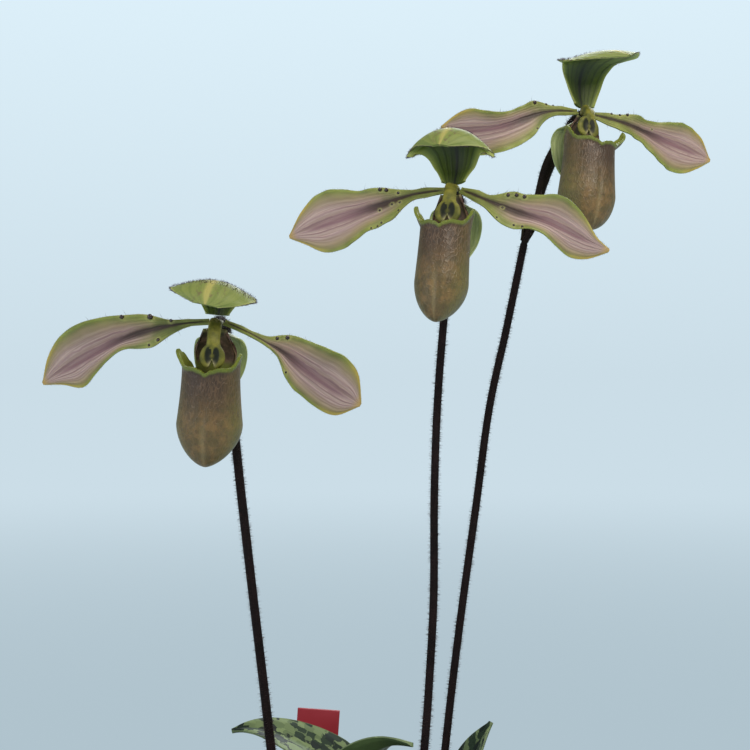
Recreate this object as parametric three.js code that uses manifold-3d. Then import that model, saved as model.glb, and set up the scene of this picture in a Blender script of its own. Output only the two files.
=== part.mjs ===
// Potted slipper orchid: a round pot of bark with three leaf fans, three hairy stems and three flowers.
// Millimetres, +Z up. The origin is the centre of the pot's flat underside, and the flowers face -Y.
import * as THREE from "three";
import Module from "manifold-3d";
import { mergeVertices } from "three/addons/utils/BufferGeometryUtils.js";

const wasm = await Module();
wasm.setup();

// Driving dimensions
const gap = 0.35;
const pot = {
  height: 90, baseRadius: 37, topRadius: 47, wall: 1.8, floor: 2.5, rimRadius: 50, rimHeight: 13,
  drainRadius: 4.5, drainCircle: 24, drainCount: 6, sides: 36,
};
const medium = {
  surface: 83, relief: 2.2, rings: 8, sides: 36, chunks: 70, seed: 11,
};
const crown = { halfLength: 13.5, halfWidth: 7.5, floor: 75.5, sides: 20 };
const label = { width: 11.6, thickness: 1.0, length: 90, pointLength: 9, lean: 3.8, foot: [-18.9, 33, 58.4] };
const blade = { petal: 0.8, sepal: 0.8, leaf: 1.1, bract: 0.7, lip: 0.8 };
const counts = {
  petalRows: 15, petalColumns: 6, sepalRows: 12, sepalColumns: 8, leafRows: 13, leafColumns: 4, bract: 6,
};

// Small mathematics shared by the pieces
const radians = THREE.MathUtils.degToRad;
const clamp = THREE.MathUtils.clamp;
const lerp = THREE.MathUtils.lerp;
const point = (x, y, z) => new THREE.Vector3(x, y, z);

function seeded(seed) {
  let state = seed >>> 0;
  return () => {
    state = (Math.imul(state, 1664525) + 1013904223) >>> 0;
    return state / 4294967296;
  };
}

// Smooth curve through values that stand at equal steps of t from 0 to 1
function evenly(values, t) {
  const last = values.length - 1;
  const place = clamp(t, 0, 1) * last;
  const i = Math.min(Math.floor(place), last - 1);
  const u = place - i;
  const slope = (j) => (values[Math.min(j + 1, last)] - values[Math.max(j - 1, 0)])
    / (Math.min(j + 1, last) - Math.max(j - 1, 0));
  const a = values[i];
  const b = values[i + 1];
  const squared = u * u;
  const cubed = squared * u;
  return a * (2 * cubed - 3 * squared + 1) + slope(i) * (cubed - 2 * squared + u)
    + b * (3 * squared - 2 * cubed) + slope(i + 1) * (cubed - squared);
}

function evenlyPoint(points, t) {
  return point(...[0, 1, 2].map((axis) => evenly(points.map((p) => p[axis]), t)));
}

function tangentOf(curve, t) {
  const step = 0.01;
  return curve(Math.min(t + step, 1)).sub(curve(Math.max(t - step, 0))).normalize();
}

// Closed solids from vertices and triangles
function solidGeometry(vertices, triangles) {
  const geometry = new THREE.BufferGeometry();
  const numbers = vertices.flatMap((place) => [place.x, place.y, place.z]);
  geometry.setAttribute("position", new THREE.Float32BufferAttribute(numbers, 3));
  geometry.setIndex(triangles.flat());
  geometry.computeVertexNormals();
  return geometry;
}

// A blade is a curved sheet of even thickness: surface(t, s) runs along t 0..1 and across s -1..1
function bladeGeometry(surface, rows, columns, thickness) {
  const wide = columns + 1;
  const sheets = [[], []];
  for (let i = 0; i <= rows; i += 1) {
    for (let j = 0; j <= columns; j += 1) {
      const t = i / rows;
      const s = -1 + (2 * j) / columns;
      const step = 0.004;
      const alongT = surface(Math.min(t + step, 1), s).sub(surface(Math.max(t - step, 0), s));
      const alongS = surface(t, Math.min(s + step, 1)).sub(surface(t, Math.max(s - step, -1)));
      const normal = alongT.cross(alongS).normalize().multiplyScalar(thickness / 2);
      const middle = surface(t, s);
      sheets[0].push(middle.clone().add(normal));
      sheets[1].push(middle.clone().sub(normal));
    }
  }
  const count = sheets[0].length;
  const triangles = [];
  for (let i = 0; i < rows; i += 1) {
    for (let j = 0; j < columns; j += 1) {
      const a = i * wide + j;
      const b = a + 1;
      const c = a + wide;
      const d = c + 1;
      triangles.push([a, c, d], [a, d, b]);
      triangles.push([count + a, count + d, count + c], [count + a, count + b, count + d]);
    }
  }
  const steps = (size) => Array.from({ length: size }, (_, k) => k);
  const rim = [
    ...steps(columns),
    ...steps(rows).map((i) => i * wide + columns),
    ...steps(columns).map((j) => rows * wide + columns - j),
    ...steps(rows).map((i) => (rows - i) * wide),
  ];
  rim.forEach((a, k) => {
    const b = rim[(k + 1) % rim.length];
    triangles.push([a, b, count + b], [a, count + b, count + a]);
  });
  return solidGeometry(sheets.flat(), triangles);
}

// A round bar along a curve, with its own half width and half depth at each t
function barGeometry(curve, halfWidth, halfDepth, rows, sides, sideways) {
  const vertices = [];
  const triangles = [];
  for (let i = 0; i <= rows; i += 1) {
    const t = i / rows;
    const forward = tangentOf(curve, t);
    const across = sideways.clone().addScaledVector(forward, -sideways.dot(forward)).normalize();
    const up = forward.clone().cross(across);
    for (let k = 0; k < sides; k += 1) {
      const angle = (2 * Math.PI * k) / sides;
      vertices.push(curve(t).addScaledVector(across, halfWidth(t) * Math.cos(angle))
        .addScaledVector(up, halfDepth(t) * Math.sin(angle)));
    }
  }
  for (let i = 0; i < rows; i += 1) {
    for (let k = 0; k < sides; k += 1) {
      const a = i * sides + k;
      const b = i * sides + ((k + 1) % sides);
      triangles.push([a, b, b + sides], [a, b + sides, a + sides]);
    }
  }
  const start = vertices.push(curve(0)) - 1;
  const end = vertices.push(curve(1)) - 1;
  for (let k = 0; k < sides; k += 1) {
    const next = (k + 1) % sides;
    triangles.push([start, next, k], [end, rows * sides + k, rows * sides + next]);
  }
  return solidGeometry(vertices, triangles);
}

function toManifold(geometry) {
  const bare = geometry.clone();
  bare.deleteAttribute("normal");
  bare.deleteAttribute("uv");
  const merged = mergeVertices(bare, 1e-4);
  const mesh = new wasm.Mesh({
    numProp: 3,
    vertProperties: new Float32Array(merged.attributes.position.array),
    triVerts: new Uint32Array(merged.index.array),
  });
  mesh.merge();
  return new wasm.Manifold(mesh);
}

function fromManifold(solid) {
  const mesh = solid.getMesh();
  const geometry = new THREE.BufferGeometry();
  geometry.setAttribute("position", new THREE.BufferAttribute(new Float32Array(mesh.vertProperties), 3));
  geometry.setIndex(new THREE.BufferAttribute(new Uint32Array(mesh.triVerts), 1));
  geometry.computeVertexNormals();
  return geometry;
}

const finishes = {
  potPlastic: [0x2b2d2e, 0.55],
  bark: [0x6a4a33, 0.95],
  labelPlastic: [0x9a2838, 0.45],
  leaf: [0x5f7a62, 0.45],
  stem: [0x2e1f1f, 0.85],
  ovary: [0x33241f, 0.85],
  bract: [0x3d3826, 0.8],
  dorsal: [0x93a04a, 0.55],
  synsepal: [0x8fa35c, 0.55],
  petal: [0xa88a8a, 0.5],
  lip: [0x806a48, 0.4],
  column: [0x9a9a3a, 0.45],
};

function piece(name, geometry, finish) {
  const [color, roughness] = finishes[finish];
  const mesh = new THREE.Mesh(geometry, new THREE.MeshStandardMaterial({ color, roughness, metalness: 0 }));
  mesh.name = name;
  return mesh;
}

// Pot: a turned plastic wall with a stepped rim and drain holes round the middle of its floor
function potGeometry() {
  const rimFoot = pot.height - pot.rimHeight;
  const wallAt = (z) => lerp(pot.baseRadius, pot.topRadius, z / pot.height);
  const profile = [
    [0, 0], [pot.baseRadius - 1.5, 0], [pot.baseRadius, 1.5], [wallAt(rimFoot), rimFoot],
    [pot.rimRadius - 1, rimFoot + 0.6], [pot.rimRadius, pot.height - 1.2], [pot.rimRadius - 1, pot.height],
    [wallAt(pot.height) - pot.wall, pot.height - 0.6],
    [wallAt(pot.floor) - pot.wall, pot.floor], [0, pot.floor],
  ].map(([r, z]) => new THREE.Vector2(r, z));
  const turned = new THREE.LatheGeometry(profile, pot.sides).rotateX(Math.PI / 2);
  let solid = toManifold(turned);
  for (let k = 0; k < pot.drainCount; k += 1) {
    const angle = (2 * Math.PI * k) / pot.drainCount;
    const drill = new THREE.CylinderGeometry(pot.drainRadius, pot.drainRadius, pot.floor * 4, 12)
      .rotateX(Math.PI / 2)
      .translate(pot.drainCircle * Math.cos(angle), pot.drainCircle * Math.sin(angle), 0);
    solid = solid.subtract(toManifold(drill));
  }
  return fromManifold(solid);
}

// Growing medium: a filling of bark whose top is a relief of tilted chunks
function chunkRelief() {
  const random = seeded(medium.seed);
  const chunks = Array.from({ length: medium.chunks }, () => {
    const radius = pot.topRadius * Math.sqrt(random());
    const turn = 2 * Math.PI * random();
    return {
      x: radius * Math.cos(turn), y: radius * Math.sin(turn), height: random(),
      tiltX: random() - 0.5, tiltY: random() - 0.5,
    };
  });
  return (x, y) => {
    const near = chunks.reduce((best, chunk) => {
      const distance = Math.hypot(chunk.x - x, chunk.y - y);
      return distance < best.distance ? { distance, chunk } : best;
    }, { distance: Infinity }).chunk;
    const tilt = near.tiltX * (x - near.x) + near.tiltY * (y - near.y);
    return medium.relief * clamp(near.height + 0.25 * tilt, 0, 1.2);
  };
}

function mediumGeometry(fans) {
  const relief = chunkRelief();
  const foot = pot.floor + gap;
  const wallAt = (z) => lerp(pot.baseRadius, pot.topRadius, z / pot.height) - pot.wall - gap;
  const vertices = [point(0, 0, foot), point(0, 0, medium.surface + relief(0, 0))];
  const triangles = [];
  const ring = (radius, height) => {
    const first = vertices.length;
    for (let k = 0; k < medium.sides; k += 1) {
      const angle = (2 * Math.PI * k) / medium.sides;
      const x = radius * Math.cos(angle);
      const y = radius * Math.sin(angle);
      vertices.push(point(x, y, height(x, y)));
    }
    return first;
  };
  const band = (low, high) => {
    for (let k = 0; k < medium.sides; k += 1) {
      const next = (k + 1) % medium.sides;
      triangles.push([low + k, low + next, high + next], [low + k, high + next, high + k]);
    }
  };
  const flatten = Math.cos(Math.PI / pot.sides);
  let outer = ring(wallAt(foot) * flatten, () => foot);
  for (let k = 0; k < medium.sides; k += 1) triangles.push([0, outer + ((k + 1) % medium.sides), outer + k]);
  for (let i = medium.rings; i > 0; i -= 1) {
    const radius = (wallAt(medium.surface) * flatten * i) / medium.rings;
    const edge = i === medium.rings;
    const next = ring(radius, (x, y) => medium.surface + (edge ? 0 : relief(x, y)));
    band(outer, next);
    outer = next;
  }
  for (let k = 0; k < medium.sides; k += 1) triangles.push([1, outer + k, outer + ((k + 1) % medium.sides)]);
  let solid = toManifold(solidGeometry(vertices, triangles));
  fans.forEach((fan) => {
    const depth = 2 * (medium.surface - crown.floor) + 10;
    const hole = new THREE.CylinderGeometry(1, 1, depth, crown.sides)
      .rotateX(Math.PI / 2)
      .scale(crown.halfLength, crown.halfWidth, 1)
      .rotateZ(radians(fan.axis))
      .translate(fan.centre[0], fan.centre[1], crown.floor + depth / 2);
    solid = solid.subtract(toManifold(hole));
  });
  const slot = labelGeometry(gap);
  return fromManifold(solid.subtract(toManifold(slot)));
}

// Plant label: a blank plastic tag with a pointed foot
function labelGeometry(extra = 0) {
  const half = label.width / 2 + extra;
  const outline = new THREE.Shape([
    new THREE.Vector2(-half, label.pointLength), new THREE.Vector2(-1 - extra, -extra),
    new THREE.Vector2(1 + extra, -extra), new THREE.Vector2(half, label.pointLength),
    new THREE.Vector2(half, label.length), new THREE.Vector2(-half, label.length),
  ]);
  const thickness = label.thickness + 2 * extra;
  return new THREE.ExtrudeGeometry(outline, { depth: thickness, bevelEnabled: false })
    .translate(0, 0, -thickness / 2)
    .rotateX(Math.PI / 2)
    .rotateY(radians(label.lean))
    .translate(...label.foot);
}

// Leaf: a folded strap that stands in its fan, arches outward and ends in a point
const leafForm = {
  width: [0.3, 0.31, 0.36, 0.5, 0.7, 0.88, 0.98, 1, 0.88, 0.56, 0.05],
  fold: [50, 50, 44, 34, 24, 18, 15, 14, 14, 16, 20],
};

function leafCurve(leaf, fan) {
  const axis = radians(fan.axis);
  const start = point(
    fan.centre[0] + leaf.side * leaf.offset * Math.cos(axis),
    fan.centre[1] + leaf.side * leaf.offset * Math.sin(axis),
    crown.floor + gap,
  );
  const heading = axis + (leaf.side > 0 ? 0 : Math.PI) + radians(leaf.turn);
  const steps = 60;
  const places = [start];
  for (let i = 0; i < steps; i += 1) {
    const t = (i + 0.5) / steps;
    const bent = Math.min(t / (leaf.bend ?? 1), 1) ** leaf.late;
    const climb = radians(lerp(leaf.rise, leaf.tip, bent) - (leaf.droop ?? 0) * t ** 12);
    const run = (leaf.length / steps) * Math.cos(climb);
    const rise = (leaf.length / steps) * Math.sin(climb);
    const last = places[places.length - 1];
    places.push(point(last.x + run * Math.cos(heading), last.y + run * Math.sin(heading), last.z + rise));
  }
  return (t) => {
    const place = clamp(t, 0, 1) * steps;
    const i = Math.min(Math.floor(place), steps - 1);
    return places[i].clone().lerp(places[i + 1], place - i);
  };
}

function leafGeometry(leaf, fan) {
  const curve = leafCurve(leaf, fan);
  const heading = radians(fan.axis) + (leaf.side > 0 ? 0 : Math.PI) + radians(leaf.turn);
  const level = point(-Math.sin(heading), Math.cos(heading), 0);
  const surface = (t, s) => {
    const forward = tangentOf(curve, t);
    const upper = level.clone().cross(forward).multiplyScalar(-1);
    const tilt = radians(leaf.tilt) * clamp((t - 0.2) / 0.5, 0, 1);
    const across = level.clone().multiplyScalar(Math.cos(tilt)).addScaledVector(upper, Math.sin(tilt));
    const face = upper.clone().multiplyScalar(Math.cos(tilt)).addScaledVector(level, -Math.sin(tilt));
    const half = leaf.halfWidth * evenly(leafForm.width, t);
    const fold = radians(evenly(leafForm.fold, t));
    return curve(t).addScaledVector(across, s * half * Math.cos(fold))
      .addScaledVector(face, Math.abs(s) * half * Math.sin(fold));
  };
  return bladeGeometry(surface, counts.leafRows, counts.leafColumns, blade.leaf);
}

const fans = [
  {
    name: "left", centre: [-17.5, -2], axis: 20,
    leaves: [
      { side: -1, offset: 4.5, turn: 14, length: 92, halfWidth: 15, rise: 82, tip: 0, late: 1.5, tilt: 6 },
      {
        side: 1, offset: 4.5, turn: -50, length: 88, halfWidth: 9.5, rise: 84, tip: 13, late: 4.8, tilt: -22,
        bend: 0.96, droop: 15,
      },
      { side: -1, offset: 7.6, turn: 2, length: 98, halfWidth: 17, rise: 76, tip: -45, late: 0.9, tilt: 0 },
    ],
  },
  {
    name: "middle", centre: [13.5, -15], axis: -30,
    leaves: [
      { side: 1, offset: 4.5, turn: 22, length: 72, halfWidth: 11, rise: 86, tip: 50, late: 1.6, tilt: 0 },
      { side: -1, offset: 4.5, turn: 80, length: 88, halfWidth: 12, rise: 77, tip: 5, late: 1.4, tilt: -8 },
      { side: 1, offset: 7.6, turn: 6, length: 98, halfWidth: 16, rise: 77, tip: -20, late: 0.8, tilt: 0 },
    ],
  },
  {
    name: "right", centre: [15, 17], axis: 10,
    leaves: [
      {
        side: -1, offset: 4.5, turn: -12, length: 95.5, halfWidth: 9.3, rise: 85, tip: 30, late: 3.1, tilt: -18,
        bend: 0.72, droop: 50,
      },
      { side: 1, offset: 4.5, turn: 4, length: 74, halfWidth: 11, rise: 87, tip: 60, late: 2.2, tilt: 0 },
      { side: -1, offset: 7.6, turn: -11, length: 99, halfWidth: 13, rise: 75, tip: -30, late: 1.1, tilt: 4 },
      { side: 1, offset: 7.6, turn: 9, length: 104, halfWidth: 17, rise: 75, tip: -35, late: 1.1, tilt: 0 },
    ],
  },
];

// Petal: half widths above and below the midrib at each tenth of its length
function petalGeometry(petal) {
  const curve = (t) => evenlyPoint(petal.midrib, t);
  const viewer = point(0, -1, 0);
  const surface = (t, s) => {
    const forward = tangentOf(curve, t);
    const flat = viewer.clone().cross(forward).normalize();
    const upward = flat.z < 0 ? flat.multiplyScalar(-1) : flat;
    const facing = viewer.clone().addScaledVector(forward, -viewer.dot(forward)).normalize();
    const turn = radians(evenly(petal.twist, t));
    const across = upward.clone().multiplyScalar(Math.cos(turn)).addScaledVector(facing, Math.sin(turn));
    const face = facing.clone().multiplyScalar(Math.cos(turn)).addScaledVector(upward, -Math.sin(turn));
    const half = evenly(s > 0 ? petal.upper : petal.lower, t);
    const channel = petal.channel * half * s * s * Math.sin(Math.PI * clamp(t * 1.15, 0, 1));
    const ripple = petal.ripple * Math.abs(s) ** 3 * Math.sin(21 * t + (s > 0 ? 0.6 : 2.4))
      * Math.sin(Math.PI * t);
    return curve(t).addScaledVector(across, s * half).addScaledVector(face, channel + ripple);
  };
  return bladeGeometry(surface, counts.petalRows, counts.petalColumns, blade.petal);
}

// Dorsal sepal: a hood that rises behind the column, arches forward and ends in a visor
function dorsalGeometry(dorsal) {
  const curve = (t) => evenlyPoint(dorsal.spine.map(([y, z]) => [0, y, z]), t);
  const pose = new THREE.Matrix4().makeRotationFromEuler(
    new THREE.Euler(0, radians(dorsal.lean), radians(dorsal.turn), "ZYX"),
  );
  const surface = (t, s) => {
    const forward = tangentOf(curve, t);
    const inner = point(0, -forward.z, forward.y);
    const half = evenly(dorsal.width, t);
    const cup = evenly(dorsal.cup, t) * s * s;
    const flare = dorsal.flare * Math.sin(Math.PI * t) * Math.max(0, Math.abs(s) - 0.6) ** 2;
    const place = point(s * half, 0, 0).add(curve(t)).addScaledVector(inner, cup - flare);
    place.z += dorsal.slope * place.x * t - dorsal.sag * s ** 4 * Math.sin(Math.PI * t);
    place.x += dorsal.drift * t ** 3;
    return place.applyMatrix4(pose);
  };
  return bladeGeometry(surface, counts.sepalRows, counts.sepalColumns, blade.sepal);
}

// Synsepal: the joined lower sepals, one blade that hangs behind the lip
const synsepal = {
  spine: [[3.3, -2.9], [6.3, -5], [7.8, -9], [7.6, -14], [6.8, -18.5], [5.6, -22.5]],
  width: [2.2, 4.2, 5.8, 6.7, 7, 6.8, 6.2, 5.2, 4, 2.6, 0.6],
  cup: 1.3,
};

function synsepalGeometry() {
  const curve = (t) => evenlyPoint(synsepal.spine.map(([y, z]) => [0, y, z]), t);
  const surface = (t, s) => {
    const forward = tangentOf(curve, t);
    const inner = point(0, forward.z, -forward.y);
    const half = evenly(synsepal.width, t);
    return point(s * half, 0, 0).add(curve(t)).addScaledVector(inner, synsepal.cup * s * s);
  };
  return bladeGeometry(surface, counts.sepalRows - 2, counts.sepalColumns - 2, blade.sepal);
}

// Lip: a deep open pouch with a notched front rim, an ear at each side and a wall behind the column.
// Its margin is given as the height of the rim at angles from the front (0) to the back (180). A flower
// gives its lip's half width, its waist and, for each side, how far the ear reaches out and is lifted.
const lip = {
  bottom: -36.3,
  widest: -26,
  rim: -11.2,
  halfDepth: 7.3,
  margin: [
    [0, -12.5], [12, -11.7], [27, -11.2], [42, -11.3], [54, -11.2], [65, -10.5], [75, -9.2], [85, -7.8],
    [94, -7.1], [106, -8.4], [120, -11], [134, -13], [142, -2.6], [160, -2.5], [180, -2.5],
  ],
  rows: [0.03, 0.1, 0.22, 0.38, 0.56, 0.74, 0.88, 1],
};

function lipSection(z, form) {
  const fall = clamp((lip.widest - z) / (lip.widest - lip.bottom), 0, 1);
  const close = (1 - fall ** 1.9) ** 0.65;
  const waist = clamp((z - lip.widest) / (lip.rim - lip.widest), 0, 1);
  const narrow = 1 - form.waist * Math.sin(Math.PI * 0.5 * waist);
  return {
    halfWidth: form.halfWidth * close * narrow,
    halfDepth: lip.halfDepth * close * (1 - 0.14 * waist),
    middle: -2.8 - 0.8 * (1 - waist) - 3.6 * fall * fall,
  };
}

function lipSurface(angle, z, form, ear) {
  const section = lipSection(z, form);
  const above = clamp((z - lip.rim) / (-2.5 - lip.rim), 0, 1);
  const wall = angle > 139 ? above : 0;
  const raised = clamp((z - lip.margin[0][1] - 0.5) / 5.5, 0, 1);
  const reach = ear.reach * Math.exp(-(((angle - 90) / 28) ** 2)) * Math.sin(Math.PI * 0.6 * raised);
  const bulge = 0.2 * Math.sin(Math.PI * Math.min(wall * 1.4, 1)) - 0.32 * wall * wall;
  const spread = 1 + reach / section.halfWidth + bulge;
  const turn = radians(angle);
  const back = section.halfDepth * Math.cos(turn);
  return point(section.halfWidth * spread * Math.sin(turn), section.middle - back - 1.9 * wall ** 1.4, z);
}

function lipGeometry(form) {
  const half = lip.margin;
  const round = [
    ...half.map(([angle, top]) => ({ angle, top, side: 1, ear: form.right })),
    ...half.slice(1, -1).reverse().map(([angle, top]) => ({ angle, top, side: -1, ear: form.left })),
  ];
  const outer = [[point(0, lipSection(lip.bottom, form).middle, lip.bottom)]];
  lip.rows.forEach((share) => {
    outer.push(round.map(({ angle, top, side, ear }) => {
      const rim = top + ear.lift * Math.exp(-(((angle - 92) / 16) ** 2));
      const place = lipSurface(angle, lerp(lip.bottom, rim, share ** 1.35), form, ear);
      return point(side * place.x, place.y, place.z);
    }));
  });
  const inner = outer.map((row, i) => row.map((place, k) => {
    if (i === 0) return place.clone().add(point(0, 0, blade.lip));
    const size = row.length;
    const along = row[(k + 1) % size].clone().sub(row[(k - 1 + size) % size]);
    const above = outer[Math.min(i + 1, outer.length - 1)][k];
    const below = outer[i - 1][i === 1 ? 0 : k];
    const normal = above.clone().sub(below).cross(along).normalize();
    return place.clone().addScaledVector(normal, blade.lip);
  }));
  const size = round.length;
  const vertices = [...outer.flat(), ...inner.flat()];
  const count = vertices.length / 2;
  const at = (row, k) => (row === 0 ? 0 : 1 + (row - 1) * size + (k % size));
  const triangles = [];
  for (let k = 0; k < size; k += 1) {
    triangles.push([0, at(1, k + 1), at(1, k)], [count, count + at(1, k), count + at(1, k + 1)]);
    for (let row = 1; row < lip.rows.length; row += 1) {
      const [a, b, c, d] = [at(row, k), at(row, k + 1), at(row + 1, k), at(row + 1, k + 1)];
      triangles.push([a, b, d], [a, d, c]);
      triangles.push([count + a, count + d, count + b], [count + a, count + c, count + d]);
    }
    const edge = [at(lip.rows.length, k), at(lip.rows.length, k + 1)];
    triangles.push([edge[0], edge[1], count + edge[1]], [edge[0], count + edge[1], count + edge[0]]);
  }
  return solidGeometry(vertices, triangles);
}

// Column: the short shaft in the flower's middle, with a notched shield (staminode) on its front
const column = {
  spine: [[0, 1.7, -0.9], [0, -0.6, -1], [0, -3, -2.6], [0, -4.8, -5], [0, -5.6, -7]],
  width: [1.5, 1.9, 2, 2, 2.3],
  depth: [1.0, 1.1, 1.1, 1.0, 0.6],
  shieldWidth: 6.4,
  shieldHeight: 6.6,
  shieldThickness: 1.2,
  shieldCentre: [0, -5.9, -8.6],
  shieldTilt: -8,
  notchWidth: 1.0,
  notchDepth: 2.1,
  rows: 8,
  sides: 10,
};

function columnGeometry(shield) {
  const spine = column.spine.map(([x, y, z], i, all) => {
    const share = i / (all.length - 1);
    return [x + shield.shift * share, y, z + shield.lift * share];
  });
  const shaft = barGeometry((t) => evenlyPoint(spine, t), (t) => evenly(column.width, t),
    (t) => evenly(column.depth, t), column.rows, column.sides, point(1, 0, 0));
  const w = column.shieldWidth / 2;
  const h = column.shieldHeight / 2;
  const outline = new THREE.Shape();
  outline.moveTo(0, h);
  outline.bezierCurveTo(w * 0.9, h * 1.05, w * 1.15, h * 0.1, w * 0.85, -h * 0.55);
  outline.bezierCurveTo(w * 0.7, -h * 0.95, w * 0.35, -h * 1.05, column.notchWidth / 2, -h * 0.9);
  outline.lineTo(column.notchWidth / 2, -h + column.notchDepth);
  outline.lineTo(-column.notchWidth / 2, -h + column.notchDepth);
  outline.lineTo(-column.notchWidth / 2, -h * 0.9);
  outline.bezierCurveTo(-w * 0.35, -h * 1.05, -w * 0.7, -h * 0.95, -w * 0.85, -h * 0.55);
  outline.bezierCurveTo(-w * 1.15, h * 0.1, -w * 0.9, h * 1.05, 0, h);
  const plate = new THREE.ExtrudeGeometry(outline, {
    depth: column.shieldThickness, bevelEnabled: false, curveSegments: 5,
  })
    .translate(0, 0, -column.shieldThickness / 2)
    .rotateX(Math.PI / 2 + radians(column.shieldTilt))
    .translate(...column.shieldCentre)
    .translate(shield.shift, 0, shield.lift);
  return fromManifold(toManifold(shaft).add(toManifold(plate)));
}

// Flowers: place of the column's foot, three turns, and the forms that differ from flower to flower
const sweep = [2.3, 1.7, 2.1, 2.9, 3.8, 4.8];
const midrib = (places) => places.map(([x, z], i) => [x, sweep[i], z]);
const hood = {
  small: [3, 4.4, 5.6, 6.6, 7.8, 9.6, 10.8, 11.1, 10.4, 8.4, 3.2],
  deep: [3, 4.3, 5.5, 6.5, 7.6, 9.4, 11, 11.4, 10, 6.9, 2],
  open: [3.4, 5, 6.4, 7.6, 9, 11, 12.8, 13.1, 10.8, 6.2, 0.7],
};

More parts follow.
